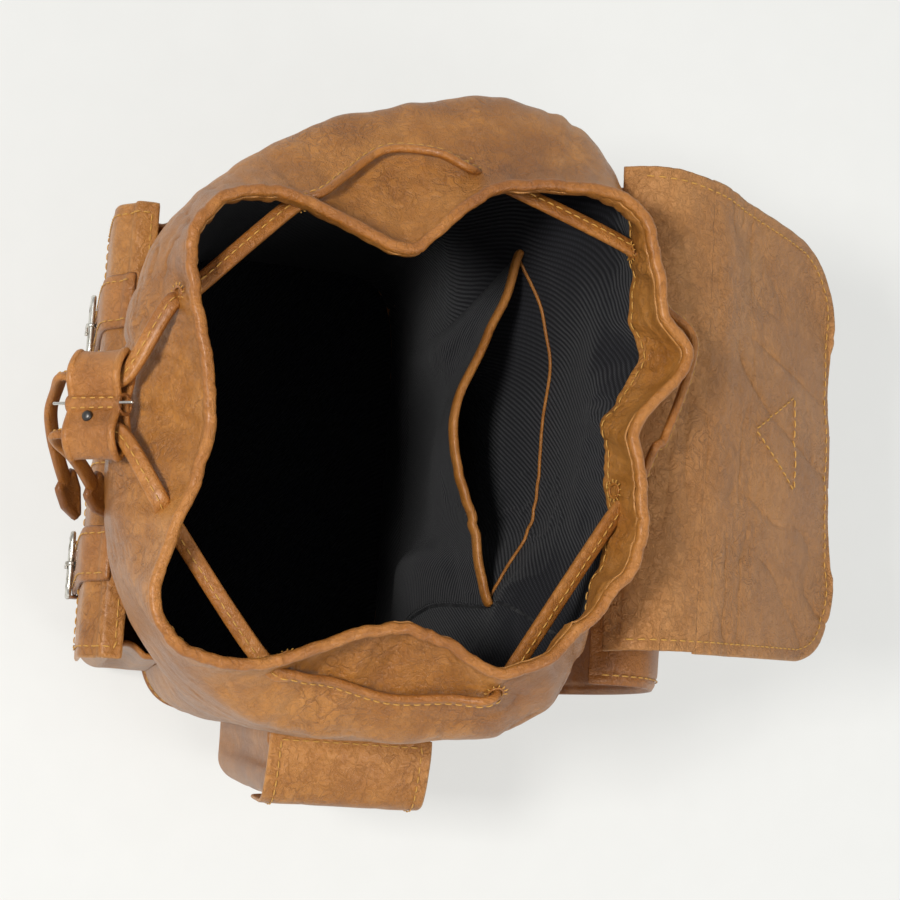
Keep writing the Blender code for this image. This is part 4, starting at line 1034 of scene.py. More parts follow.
@dataclass
class Walls:
    """The two leather walls, the rolled rim, the facing inside the mouth, and the base's edge."""

    maker: Maker
    rim_radius: float = 3.1
    facing_low: float = 316.0

    def build(self) -> None:
        """Makes the pieces."""
        self.panels()
        self.rim()
        self.facing()
        self.base()

    def panels(self) -> None:
        """Front and side wall in one, and the back wall between the seams."""
        wall = self.maker.wall
        heights = np.concatenate([np.linspace(2.3, 200, 62), np.linspace(202.4, wall.TOP, 78)])
        right, left = wall.seams(heights)
        for name, start, turn, columns in (("back_panel", right, left - right, 150),
                                           ("front_side_panel", left, right + 360 - left, 330)):
            share = np.linspace(0, 1, columns)[None]
            turns = start[:, None] + turn[:, None] * share
            folds = wall.folds(turns, heights[:, None] + 0 * turns)
            girth = np.minimum(share, 1 - share) * columns * 2.0
            lip = 0.9 * np.exp(-(girth / 3.0) ** 2) - 1.1 * np.exp(-((girth - 5.5) / 2.5) ** 2)
            hem = -2.0 * (1 - ease(heights, 2, 10))[:, None]
            top = -0.8 * np.exp(-((heights - 338.5) / 1.8) ** 2)[:, None]
            points = wall.place(turns, heights[:, None], folds + lip + hem + top - wall.LEATHER / 2, 0)
            wear = 0.42 * ease(folds, 0.4, 4.2) + 0.35 * np.exp(-(girth / 1.6) ** 2)
            wear = wear + 0.25 * (1 - ease(heights, 2, 12))[:, None]
            self.maker.keep(sheet(points, wall.LEATHER, wear=wear), name.replace("panel", "wall"),
                            self.maker.finishes.hide, nodes=(name,), slot="tan_leather")

    def rim(self) -> None:
        """The turned edge: a roll along the mouth, a little thicker and thinner as it goes."""
        wall = self.maker.wall
        turns = np.linspace(0, 360, 620, endpoint=False)
        path = wall.place(turns, wall.TOP, -1.7, 0.75)
        path[:, 2] += 0.3 + self.rim_radius + 0.25 * cloud(path, 26, 2, 51)
        path[:, 2] = np.minimum(path[:, 2], wall.TOP + 0.6 + self.rim_radius)
        size = 1 + 0.06 * cloud(path, 20, 3, 53)
        roll = sweep(path, (0, 0, 1), oval(6.4, 6.0, 20, 2.3), loop=True, size=size, wear=0.22)
        ring = roll.points.reshape(len(turns), 20, 3)
        middle = path[:, None]
        wrinkle = -0.32 * creases(ring * np.array([1, 1, 0.6]), 7, 57, 7.0) + 0.12 * cloud(ring, 4, 2, 59)
        roll.points = (ring + unit(ring - middle) * wrinkle[..., None]).reshape(-1, 3)
        self.maker.keep(roll, "mouth_rim", self.maker.finishes.rim, nodes=("mouth_binding",),
                        slot="rim_leather")

    def facing(self) -> None:
        """The leather band inside the mouth, sewn along its lower edge."""
        wall = self.maker.wall
        heights = np.linspace(self.facing_low, wall.TOP + 1.5, 22)
        tuck = 0.9 * np.exp(-((heights - self.facing_low - 4) / 2.2) ** 2)[:, None]
        grid = wall.ring(heights, 620, -4.3, 1.0)
        toward = unit(grid - np.array([*MIDDLE, 0.0]))
        toward[..., 2] = 0
        grid = grid + toward * tuck[..., None]
        band = sheet(grid, 1.2, loop=True, wear=np.broadcast_to(
            0.25 * np.exp(-((heights - wall.TOP) / 4) ** 2)[:, None], grid.shape[:2]))
        self.maker.keep(band, "mouth_facing_band", self.maker.finishes.hide, nodes=("mouth_facing",),
                        slot="tan_leather")
        row = wall.place(np.linspace(0, 360, 900), self.facing_low + 4.0, -5.0, 1.0)
        inward = unit((np.array([*MIDDLE, self.facing_low]) - row) * np.array([1, 1, 0]))
        self.maker.keep(stitches(row + inward * 0.2, inward), "facing_stitches", self.maker.finishes.thread)

    def base(self) -> None:
        """The base panel's sewn edge, and the two pieces inside that keep their shape."""
        wall = self.maker.wall
        turns = np.linspace(0, 360, 400, endpoint=False)
        path = wall.place(turns, 2.2, 0.2, 0)
        path[:, 2] = 3.0
        bead = sweep(path, (0, 0, 1), oval(5.2, 3.0, 12, 2.5), loop=True, wear=0.5)
        self.maker.keep(bead, "base_edge", self.maker.finishes.strap)
        row = wall.place(np.linspace(0, 360, 500), 9.0, 0.25, 1.0)
        away = unit((row - np.array([0, 0, 9.0])) * np.array([1, 1, 0]))
        self.maker.keep(stitches(row, away), "base_stitches", self.maker.finishes.thread)
        for node, finish in (("base_panel", self.maker.finishes.strap), ("base_board", self.maker.finishes.board)):
            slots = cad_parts[node].data.materials
            slots.clear()
            slots.append(finish)


@dataclass
class Lining:
    """The twill bag inside, and the slip pocket on its back wall."""

    maker: Maker
    gape: float = 50.0
    swell: float = 1.6

    def build(self) -> None:
        """Makes the pieces."""
        self.bag()
        self.slip_pocket()

    def wall_at(self, degrees: Array, z: Array, extra: float = 0.0) -> Array:
        """The lining's middle, or a surface inside it."""
        wall = self.maker.wall
        spot = wall.place(degrees, z, 0, 0)
        soft = 1.6 * (cloud(spot * np.array([1, 1, 0.5]), 48, 2, 71) - 0.9) * ease(z, 10, 60)
        soft = soft * (1 - ease(z, 280, 300))
        folds, near = wall.folds(degrees, z), ease(z, 276, 298)
        folded = folds * near + np.minimum(folds + 1.2, 0) * (1 - near)
        return wall.place(degrees, z, -(3.1 + extra) - wall.slack(degrees, z) + soft + folded, 0)

    def bag(self) -> None:
        """Walls of cloth round the inside, and a floor."""
        wall = self.maker.wall
        heights = np.concatenate([[6.2], np.linspace(7.5, 319.5, 118)])
        right, _ = wall.seams(heights)
        turns = right[:, None] + np.linspace(0, 360, 560, endpoint=False)[None]
        grid = self.wall_at(turns, heights[:, None] + 0 * turns)
        step = np.linalg.norm(np.diff(grid[60], axis=0, append=grid[60][:1]), axis=1)
        across = np.concatenate([[0.0], np.cumsum(step)[:-1]])
        chart = np.stack(np.broadcast_arrays(across[None], heights[:, None]), axis=-1)
        side = sheet(grid, 0.8, loop=True, chart=chart)
        u, v = np.meshgrid(np.linspace(-1, 1, 60), np.linspace(-1, 1, 36), indexing="ij")
        most = np.maximum(np.abs(u), np.abs(v))
        share = most / np.maximum((np.abs(u) ** 6 + np.abs(v) ** 6) ** (1 / 6), 1e-6)
        floor = np.stack([u * share * 141.0, v * share * 72.5 + 1.0, np.full(u.shape, 6.6)], axis=-1)
        self.maker.keep(Shape.join([side, sheet(floor, 0.7)]), "lining_bag", self.maker.finishes.cloth,
                        nodes=("lining",), slot="navy_twill")

    def mouth_at(self, share: Array, z: Array, extra: Array = 0.0) -> Array:
        """The slip pocket's cloth: the lining's surface, drawn out to the front.

        It comes out by the sine of the share of its width, and by a power of its height.
        """
        wall = self.maker.wall
        right, left = wall.seams(z)
        spot = self.wall_at(right + (left - right) * share, z, 1.7 + extra)
        ends = [self.wall_at(right + (left - right) * e, z, 1.7 + extra)[..., 0] for e in (0.0, 0.9)]
        bow = np.sin(math.pi * np.clip((ends[0] - spot[..., 0]) / (ends[0] - ends[1]), 0, 1))
        rise = np.clip((z - 60) / 176, 0, 1)
        spot[..., 1] -= self.gape * bow * rise ** self.swell
        return spot

    def slip_pocket(self) -> None:
        """The gaping cloth, its bound edge, and the line of leather behind its mouth."""
        share, z = np.linspace(0, 0.9, 120), np.linspace(60, 236, 60)
        grid = self.mouth_at(share[None] + 0 * z[:, None], z[:, None] + 0 * share[None])
        chart = measured(grid) * np.array([-1.0, 1.0])
        self.maker.keep(sheet(grid, 0.8, chart=chart), "slip_pocket_cloth", self.maker.finishes.cloth,
                        nodes=("slip_pocket",), slot="navy_twill")
        edge = spaced(self.mouth_at(share, np.full(120, 238.0), 0.0), 1.6)
        bound = sweep(edge, (0, 0, 1), oval(8.5, 4.4, 16, 2.6), wear=0.15)
        bound.points = bound.points + unit(bound.points - bound.points.mean(0)) * 0.25 * cloud(
            bound.points, 12, 2, 77)[:, None]
        self.maker.keep(bound, "slip_pocket_bound_edge", self.maker.finishes.rim,
                        nodes=("slip_pocket_binding",), slot="rim_leather")
        turns = self.maker.wall.seams(238.0)
        line = self.wall_at(turns[0] + (turns[1] - turns[0]) * np.linspace(0.0, 0.9, 160), np.full(160, 236.0), 1.0)
        piping = sweep(spaced(line, 2.0), (0, 0, 1), oval(2.6, 1.7, 10), wear=0.2)
        self.maker.keep(piping, "slip_pocket_piping", self.maker.finishes.rim, slot="rim_leather")


# ---------------------------------------------------------------- fittings

def fitting_place(centre: Sequence[float], slope: float, flip: bool = False) -> Matrix:
    """Where a fitting lies: tilted about X by a slope, and turned to face the back if flipped."""
    place = Matrix.Translation(Vector(centre)) @ Matrix.Rotation(slope, 4, "X")
    return place @ Matrix.Rotation(math.pi, 4, "Z") if flip else place


def rounded_loop(width: float, height: float, corner: float, step: float = 1.0) -> Array:
    """A closed rectangle with round corners in (x, z), evenly spaced, counter-clockwise."""
    turn = np.linspace(0, math.pi / 2, 9)
    centres = ((1, 1), (-1, 1), (-1, -1), (1, -1))
    line = np.concatenate([np.stack([
        sx * (width / 2 - corner) + corner * np.cos(turn + k * math.pi / 2),
        sz * (height / 2 - corner) + corner * np.sin(turn + k * math.pi / 2)], axis=1)
        for k, (sx, sz) in enumerate(centres)])
    return spaced(np.concatenate([line, line[:1]]), step)[:-1]


@dataclass
class Buckle:
    """A wire buckle and its prong."""

    maker: Maker
    name: str
    strap_width: float
    place: Matrix
    body: str = "root"
    prong_body: str = "root"
    wire: float = 1.5
    height: float = 26.0

    def build(self) -> None:
        """Makes the frame and the prong, which is curled round the frame's top bar."""
        width = self.strap_width + 2 * self.wire + 4.0
        loop = rounded_loop(width, self.height, 4.0)
        path = np.stack([loop[:, 0], 0 * loop[:, 0], loop[:, 1]], axis=1)
        ring = sweep(path, (0, 1, 0), oval(2 * self.wire, 2 * self.wire, 14, 2.2), loop=True, wear=0.4)
        metal = self.maker.finishes.metal
        node = self.name.replace("_frame", "")
        self.maker.keep(ring.moved(self.place), self.name, metal, self.body, nodes=(node,), slot="antique_silver")
        top = self.height / 2
        turn = np.linspace(-0.5 * math.pi, 1.0 * math.pi, 14)
        curl = np.stack([0 * turn, 2.35 * np.cos(turn + math.pi / 2), top + 2.35 * np.sin(turn + math.pi / 2)],
                        axis=1)
        drop = smooth([(0, -2.4, top - 0.6), (0, -2.5, top * 0.5), (0, -2.3, -top * 0.4), (0, -2.35, -top - 0.4)], 0.8)
        line = np.concatenate([curl[:10], drop[2:]])
        prong = sweep(spaced(line, 0.8), (1, 0, 0), oval(2.2, 1.7, 10, 2.4), wear=0.4)
        self.maker.keep(prong.moved(self.place), node.replace("buckle", "prong") + "_pin", metal,
                        self.prong_body, nodes=(node.replace("buckle", "prong"),), slot="antique_silver")


def holes(strip: Strip, x: float, places: Sequence[float], lift: float, radius: float = 1.9) -> Shape:
    """Punched holes, as dark dished discs just over a strap's surface: their dark is painted shade in the holes."""
    shapes = []
    for s in places:
        here, up = strip.at(x, s, lift), strip.outward(s)
        turn = np.linspace(0, 2 * math.pi, 14, endpoint=False)
        across, along = np.array([1.0, 0, 0]), unit(np.cross(up, [1.0, 0, 0]))
        rings = [here + (across * np.cos(turn)[:, None] + along * np.sin(turn)[:, None]) * radius * r + up * h
                 for r, h in ((0.02, -0.12), (0.8, -0.12), (1.0, 0.06), (1.12, -0.1), (0.9, -0.5), (0.02, -0.5))]
        grid = np.stack(rings)
        flat = grid.reshape(-1, 3)
        n = len(turn)
        faces = [grid_faces(6, n, True), np.arange(n)[None], 5 * n + np.arange(n)[::-1][None]]
        shapes.append(Shape(flat, faces, flat[:, :2], np.zeros(len(flat))))
    return Shape.join(shapes)


def keeper(width: float, thick: float, place: Matrix, tall: float = 9.0) -> Shape:
    """A leather loop round a strap."""
    path = rounded_loop(width + 3.2, thick + 3.2, 1.6, 0.9)
    z = np.linspace(-tall / 2, tall / 2, 6)
    grid = np.stack(np.broadcast_arrays(path[None, :, 0], path[None, :, 1], z[::-1, None]), axis=-1)
    return sheet(grid, 1.6, loop=True, wear=np.full(grid.shape[:2], 0.15)).moved(place)


# ---------------------------------------------------------------- string

@dataclass
class String:
    """The folded strap through the eight holes, its slider, and its two free ends."""

    maker: Maker
    level: float = 325.0
    stand: float = 4.2
    angles: tuple[float, ...] = (-110.0, -149.0, 167.5, 128.8, 73.0, 22.6, -24.5, -64.0)
    channel: float = 14.0
    half: float = 12.5
    reach: float = 24.9

    def __post_init__(self) -> None:
        """Finds the slider's place: its channels run along local Z, out of the bag and down."""
        self.place = Matrix.Translation((11.0, -146.0, 306.0)) @ Matrix.Rotation(math.radians(130.0), 4, "X")
        self.rise = np.array([0.0, 0.0, 1.0])

    def build(self) -> None:
        """Makes the pieces."""
        self.strap()
        self.slider()
        self.tails()

    def local(self, x: float, y: float, z: float) -> Array:
        """A point in the slider's own frame."""
        return np.array(self.place @ Vector((x, y, z)))

    def route(self) -> tuple[Array, Array]:
        """The string's line, and which of its knots lie inside the bag."""
        wall, h = self.maker.wall, self.angles

        def outside(a: float, z: float = self.level, stand: float = self.stand,
                    share: float = 0.0) -> tuple[Array, float]:
            lift = float(wall.folds(np.array([a]), np.array([z]))[0])
            return wall.off(a, z, stand + max(lift, -0.5) * 0.8), share

        def inside(a: float) -> tuple[Array, float]:
            return wall.off(a, self.level, -self.stand - 0.6, 4.0), 1.0

        end = self.half + 3.0
        knots = [(self.local(-self.channel, 0, z), 0.8) for z in (end, 0, -self.half - 1)]
        knots += [outside(h[0] + 2, share=1.0), inside(h[0] - 2), inside(h[1] + 3), outside(h[1] - 3),
                  outside(-161.0, 315.0, 6.0), outside(-172.0, 309.0, 6.0), outside(177.0, 315.0, 6.0), outside(h[2] + 3),
                  inside(h[2] - 3), inside(h[3] + 3), outside(h[3] - 3), outside(120.0, 328.0, 9.0),
                  outside(110.0, 332.0, 14.0), outside(99.0, 331.0, 21.0), outside(88.0, 329.0, 17.0),
                  outside(h[4] + 4, stand=6.0), inside(h[4] - 4), inside(h[5] + 3), outside(h[5] - 3),
                  outside(12.0, 318.0), outside(0.0, 313.5), outside(-13.0, 318.0), outside(h[6] + 3),
                  inside(h[6] - 3), inside(h[7] + 2), outside(h[7] - 2, share=1.0)]
        knots += [(self.local(self.channel, 0, z), 0.8) for z in (-self.half - 1, 0, end)]
        both = smooth([(*p, share) for p, share in knots], 1.6)
        return both[:, :3], np.clip(both[:, 3], 0, 1)

    def strap(self) -> None:
        """The strap: upright outside, and turned to lie flatter inside, with stitches on its face."""
        path, share = self.route()
        run = unit(np.gradient(path, axis=0))
        level = unit(np.cross(self.rise, run))
        upright = np.cross(run, level)
        turn = np.radians(12 + 56 * share)[:, None]
        side = -np.cos(turn) * upright + np.sin(turn) * level
        size = 1 + 0.03 * cloud(path, 30, 2, 91)
        width = np.interp(share, [0, 1], [7.2, 9.0])[:, None, None]
        profile = oval(1.0, 4.4, 18, 3.0)[None] * np.concatenate([width, np.ones_like(width)], axis=2)
        strap = sweep(path, side, profile, size=size, wear=0.12)
        self.maker.keep(strap, "drawstring_strap", self.maker.finishes.rim, nodes=("drawstring",),
                        slot="tan_leather")
        _, _, up = frames(path, side)
        self.maker.keep(stitches(path + up * 2.2 * size[:, None], up, 5.0, 3.9, 0.8, seed=3),
                        "drawstring_stitches", self.maker.finishes.thread)
        self.holes(path)

    def holes(self, path: Array) -> None:
        """A sewn rosette round each hole: short stitches that point at its middle."""
        wall = self.maker.wall
        shapes, rings = [], []
        x, y = (path[:, :2] - MIDDLE).T
        turns = np.degrees(np.arctan2(y, x))
        depth = np.hypot(x, y) - wall.radius(turns, path[:, 2])
        for i in np.flatnonzero(depth[:-1] * depth[1:] < 0):
            a, z = turns[i], path[i, 2]
            for out, face in ((0.35, 1.0), (-5.3, -1.0)):
                lift = float(wall.folds(np.array([a]), np.array([z]))[0])
                here = wall.off(a, z, out + lift)
                normal = unit(wall.off(a, z, 1.0) - wall.off(a, z, 0.0))
                across = unit(np.cross(self.rise, normal))
                up = np.cross(normal, across)
                for k in np.linspace(0, 2 * math.pi, 12, endpoint=False):
                    ray = across * math.cos(k) * 0.8 + up * math.sin(k)
                    line = here + np.array([4.9, 7.3])[:, None] * ray
                    shapes.append(stitches(np.stack([line[0], line.mean(0), line[1]]), normal * face, 2.4, 2.3, 0.7))
                k = np.linspace(0, 2 * math.pi, 40, endpoint=False)
                loop = here + (across * np.cos(k)[:, None] * 0.8 + up * np.sin(k)[:, None]) * 4.4
                rings.append(sweep(loop, normal, oval(1.0, 1.6, 8), loop=True, wear=0.0))
        self.maker.keep(Shape.join(shapes), "hole_stitches", self.maker.finishes.thread)
        self.maker.keep(Shape.join(rings), "hole_edges", self.maker.finishes.rim)

    def outline(self, grow: float = 0.0, count: int = 120, pinch: float = 0.5) -> Array:
        """The slider's outline: two round lobes joined by a narrow waist."""
        turn = np.linspace(0, 2 * math.pi, count, endpoint=False)
        x = (self.reach + grow) * np.cos(turn)
        near = np.clip(np.abs(x) / self.channel, 0, 1)
        lobe = np.sqrt(np.clip(1 - ((np.abs(x) - self.channel) / (self.reach + grow - self.channel)) ** 2, 0, 1))
        tall = np.where(np.abs(x) > self.channel, lobe, ease(near, -0.25, 1.0) * (1 - pinch) + pinch * ease(near, 0, 0.9))
        low = 2.1 + grow
        y = low + (6.6 + grow - low) * tall
        y = np.where(np.abs(x) > self.channel, y * lobe, y)
        return spaced(np.concatenate([np.stack([x, y * np.sign(np.sin(turn + 1e-9))], axis=1),
                                      [[self.reach + grow, 0.0]]]), 1.0)[:-1]

    def slider(self) -> None:
        """The figure-of-eight band, its rolled edges, its sewn waist, the pin and the stud."""
        maker, body = self.maker, "slider_body"
        line = self.outline()
        z = np.linspace(-self.half, self.half, 22)
        flare = 0.9 * (np.abs(z) / self.half) ** 3
        away = unit(line)
        grid = np.stack(np.broadcast_arrays(line[None, :, 0] + flare[:, None] * away[None, :, 0],
                                            line[None, :, 1] + flare[:, None] * away[None, :, 1],
                                            z[:, None]), axis=-1)
        grid = grid + 0.35 * facing(grid, True) * cloud(grid, 11, 2, 95)[..., None]
        band = sheet(grid, 2.4, loop=True, wear=np.broadcast_to((0.4 * (np.abs(z) / self.half) ** 4)[:, None],
                                                                  grid.shape[:2]))
        maker.keep(band.moved(self.place), "slider_band", maker.finishes.strap, body, nodes=("slider",),
                   slot="tan_leather")
        rolls = []
        for row in (0, -1):
            edge = grid[row]
            rolls.append(sweep(edge, (0, 0, 1), oval(4.2, 3.6, 14), loop=True, wear=0.35))
        maker.keep(Shape.join(rolls).moved(self.place), "slider_rolls", maker.finishes.rim, body)
        ring = np.array([(4.6 * math.cos(t), 5.6 * math.sin(t)) for t in np.linspace(0, 2 * math.pi, 48,
                                                                                 endpoint=False)])
        tall = np.linspace(-self.half - 1.6, self.half + 1.6, 26)
        wrap = np.stack(np.broadcast_arrays(ring[None, :, 0], ring[None, :, 1], tall[:, None]), axis=-1)
        wrap = wrap + 0.3 * facing(wrap, True) * cloud(wrap, 8, 2, 97)[..., None]
        maker.keep(sheet(wrap, 1.8, loop=True).moved(self.place), "slider_waist", maker.finishes.strap, body)
        rows = []
        for face in (-1, 1):
            for x in (-2.3, 2.3):
                y = face * (5.6 * math.sqrt(1 - (x / 4.6) ** 2) + 0.95)
                row = np.stack([np.full(30, x), np.full(30, y), np.linspace(-self.half, self.half, 30)], axis=1)
                rows.append(stitches(row, (x / 8, face, 0), 4.2, 3.2, 0.8))
        maker.keep(Shape.join(rows).moved(self.place), "slider_stitches", maker.finishes.thread, body)
        pin = np.stack([np.zeros(22), np.full(22, 5.2), np.linspace(-21.5, 21.5, 22)], axis=1)
        maker.keep(sweep(pin, (1, 0, 0), oval(1.5, 1.5, 12), wear=0.3).moved(self.place), "slider_steel_pin",
                   maker.finishes.metal, body, nodes=("slider_pin",), slot="antique_silver")
        k = np.array([(0.05, 3.0), (1.2, 3.0), (2.2, 2.5), (2.7, 1.6), (2.7, 0.4), (0.05, 0.2)])
        turn = np.linspace(0, 2 * math.pi, 20, endpoint=False)
        dome = np.stack([np.stack([r * np.cos(turn), np.full(20, h), r * np.sin(turn)], axis=1) for r, h in k])
        flat = dome.reshape(-1, 3)
        faces = [grid_faces(6, 20, True), np.arange(20)[None], 100 + np.arange(20)[::-1][None]]
        stud = Shape(flat, faces, flat[:, :2], np.zeros(len(flat)))
        spot = Matrix.Translation((6.5, 5.4, 1.5))
        maker.keep(stud.moved(self.place @ spot), "slider_stud", maker.finishes.dark_metal_and_hole_shade, body)

    def tails(self) -> None:
        """The free ends: folded strap, each with a pointed, folded and stitched tip."""
        maker = self.maker
        axis = unit(self.local(0, 0, 1) - self.local(0, 0, 0))
        routes = {-1: ("left", ((1, -167.5, 281), (10, -168.5, 270), (21, -165.5, 260), (32, -160.5, 251),
                                (41, -155.5, 242))),
                  1: ("right", ((26.5, -164, 280), (31, -156, 270), (37, -149, 261), (43, -143, 252)))}
        for side, (word, knots) in routes.items():
            start = self.local(side * self.channel, 0, self.half + 3.6)
            path = smooth([start, start + axis * 6.0, *(np.array(knots) + (0.0, 4.0, 0.0))], 1.5)
            strap = sweep(path, (0.3, -0.5, 0.6), oval(8.4, 4.2, 16, 3.0), wear=0.2)
            name = f"drawstring_tail_{word}"
            tail = maker.keep(strap, name + "_strap", maker.finishes.rim, nodes=(name,), slot="tan_leather")
            run, across, up = frames(path, (0.3, -0.5, 0.6))
            row = stitches(path + up * 2.1, up, 5.0, 3.8, 0.8, seed=5)
            thread = maker.keep(row, name + "_stitches", maker.finishes.thread)
            along = np.linspace(-1.0, 22.0, 26)
            half = np.interp(along, [-1, 0, 10, 22], [6.3, 6.6, 6.4, 1.0])
            u = np.linspace(-1, 1, 14)
            grid = (path[-1] + run[-1] * along[:, None, None] + across[-1] * (u[None, :, None] * half[:, None, None]))
            grid = grid + up[-1] * (0.5 * (1 - u ** 2))[None, :, None]
            tip = sheet(grid, 4.6, wear=np.broadcast_to(0.35 * np.abs(u)[None] ** 4, grid.shape[:2]))
            tip_piece = maker.keep(tip, name + "_point", maker.finishes.strap, nodes=(name + "_tip",),
                                   slot="tan_leather")
            edge = np.concatenate([grid[1:-3, 2], grid[-4, 3:11], grid[1:-3, 11][::-1]])
            sewn = maker.keep(stitches(spaced(edge + up[-1] * 2.35, 1.0), up[-1], 4.4, 3.4, 0.75),
                              name + "_point_stitches", maker.finishes.thread)
            float(lengths(path)[-1] * MM)


# ---------------------------------------------------------------- flaps

@dataclass
class MainFlap:
    """The flap thrown back: sewn to the back wall, bent at the rim, with the closure strap."""

    maker: Maker
    low: float = -147.0
    high: float = 107.0
    thick: float = 2.4
    knots: tuple = ((119.5, 290.5), (128.0, 300.0), (143.0, 304.5), (160.0, 299.5), (178.0, 291.0),
                    (192.0, 279.5), (206.0, 266.5), (240.0, 237.0), (290.0, 194.0))
    neck_bend: tuple = ((0, 138, 303), (0, 150, 302))
    rim_bend: tuple = ((0, 184, 285), (0, 199, 273))

    def build(self) -> None:
        """Makes the pieces."""
        self.leather()
        self.closure()

    def leather(self) -> None:
        """The flap in two pieces that meet in the middle of the neck."""
        line = smooth(self.knots, 1.0)
        along = lengths(line)
        cut = float(along[np.argmin(np.abs(line[:, 0] - 168.0))])
        whole = Strip(line, self.low, self.high, corner=48.0, taper=10.0)
        self.whole = whole
        u, s, x = whole.grid(230, 220)
        spot = whole.at(x, s)
        hinge = np.exp(-((s - 30) / 26) ** 2) + 0.6 * np.exp(-((s - 88) / 24) ** 2)
        crease = creases(spot * np.array([0.22, 1.0, 1.0]), 15, 101, 8.0) * hinge
        slant = creases(spot @ np.array([[0.8, 0.6, 0], [-0.3, 0.9, 0.2], [0, 0, 1.0]]) * np.array([1, 0.35, 0.5]),
                        36, 107, 9.0) * ease(s, 40, 90)
        wave = 3.4 * cloud(spot, 120, 2, 111) * ease(s, 30, 100) + 0.6 * cloud(spot, 26, 2, 113)
        curl = 3.6 * np.abs(u) ** 5 * ease(s, 60, 150)
        lift = wave - curl + 1.3 * crease + 1.5 * slant + 0.2 * cloud(spot, 8, 3, 115) * (1 + 2.5 * hinge)
        self.lift = (u, s, lift)
        grid = whole.at(x, s, lift)
        edge = np.maximum(ease(np.abs(u), 0.96, 1.0), ease(s, whole.end - 4, whole.end))
        wear = 0.5 * edge + 0.22 * crease + 0.15 * slant
        chart = np.stack([x, s], axis=-1)
        row = int(np.argmin(np.abs(s[:, 0] - cut)))
        finish = self.maker.finishes.flesh
        parts = (("flap_at_seam", slice(0, row + 1), 1, "root", "neck", ("flap_root", "flap_neck"), self.neck_bend),
                 ("flap_thrown_back", slice(row, None), 3, "neck", "flap", ("flap_panel",), self.rim_bend))
        for name, rows, rim, body, other, nodes, bend in parts:
            part = grid[rows].copy()
            if rim == 3:
                part[0] -= unit(part[1] - part[0]) * 0.5
            self.maker.keep(sheet(part, self.thick, chart=chart[rows], wear=wear[rows], rim=rim), name, finish,
                            body, nodes=nodes, slot="tan_leather", bend=(other, *bend))
        self.seams(cut)

    def above(self, x: Array, s: Array) -> tuple[Array, Array]:
        """Points on the side that shows, and the way out of it, for places on the flap."""
        u, rows, lift = self.lift
        whole = self.whole
        half = (whole.high - whole.low) / 2 - whole.inset(s)
        share = np.clip((x - (whole.high + whole.low) / 2) / np.maximum(half, 1), -1, 1)
        i = np.interp(s, rows[:, 0], np.arange(len(rows)))
        j = (share + 1) / 2 * (u.shape[1] - 1)
        a, b = np.floor(i).astype(int), np.floor(j).astype(int)
        a, b = np.minimum(a, u.shape[0] - 2), np.minimum(b, u.shape[1] - 2)
        p, q = i - a, j - b
        here = (lift[a, b] * (1 - p) * (1 - q) + lift[a + 1, b] * p * (1 - q)
                + lift[a, b + 1] * (1 - p) * q + lift[a + 1, b + 1] * p * q)
        return whole.at(x, s, here - self.thick / 2), -whole.outward(s)

    def seams(self, cut: float) -> None:
        """The stitching along the edge, and the triangle that holds the strap's head."""
        whole, margin = self.whole, 5.5
        s = np.linspace(12, whole.end - margin, 400)
        inside = whole.inset(s, margin)
        corner = [whole.low + inside, whole.high - inside]
        x = np.concatenate([corner[0], np.linspace(corner[0][-1], corner[1][-1], 60)[1:-1], corner[1][::-1]])
        s = np.concatenate([s, np.full(58, s[-1]), s[::-1]])
        parts = (("flap_edge_stitches_near", s < cut, "root", "neck", self.neck_bend),
                 ("flap_edge_stitches", s >= cut, "neck", "flap", self.rim_bend))
        for name, mask, body, other, bend in parts:
            runs = np.split(np.flatnonzero(mask), np.flatnonzero(np.diff(np.flatnonzero(mask)) > 1) + 1)
            shapes = []
            for run in runs:
                places, out = self.above(x[run], s[run])
                both = spaced(np.concatenate([places, out], axis=1), 1.6)
                shapes.append(stitches(both[:, :3], both[:, 3:], 5.6, 4.3, 0.9, seed=len(run)))
            self.maker.keep(Shape.join(shapes), name, self.maker.finishes.thread, body,
                            bend=(other, *bend))
        middle = (whole.low + whole.high) / 2
        points = [(middle, whole.end - 108), (middle + 27, whole.end - 58), (middle - 27, whole.end - 58),
                  (middle, whole.end - 108)]
        shapes = []
        for a, b in zip(points, points[1:]):
            share = np.linspace(0.02, 0.98, 40)
            places, out = self.above(a[0] + (b[0] - a[0]) * share, a[1] + (b[1] - a[1]) * share)
            shapes.append(stitches(places, out, 5.6, 4.5, 1.0, seed=2))
        self.maker.keep(Shape.join(shapes), "flap_triangle_stitches", self.maker.finishes.thread, "flap")

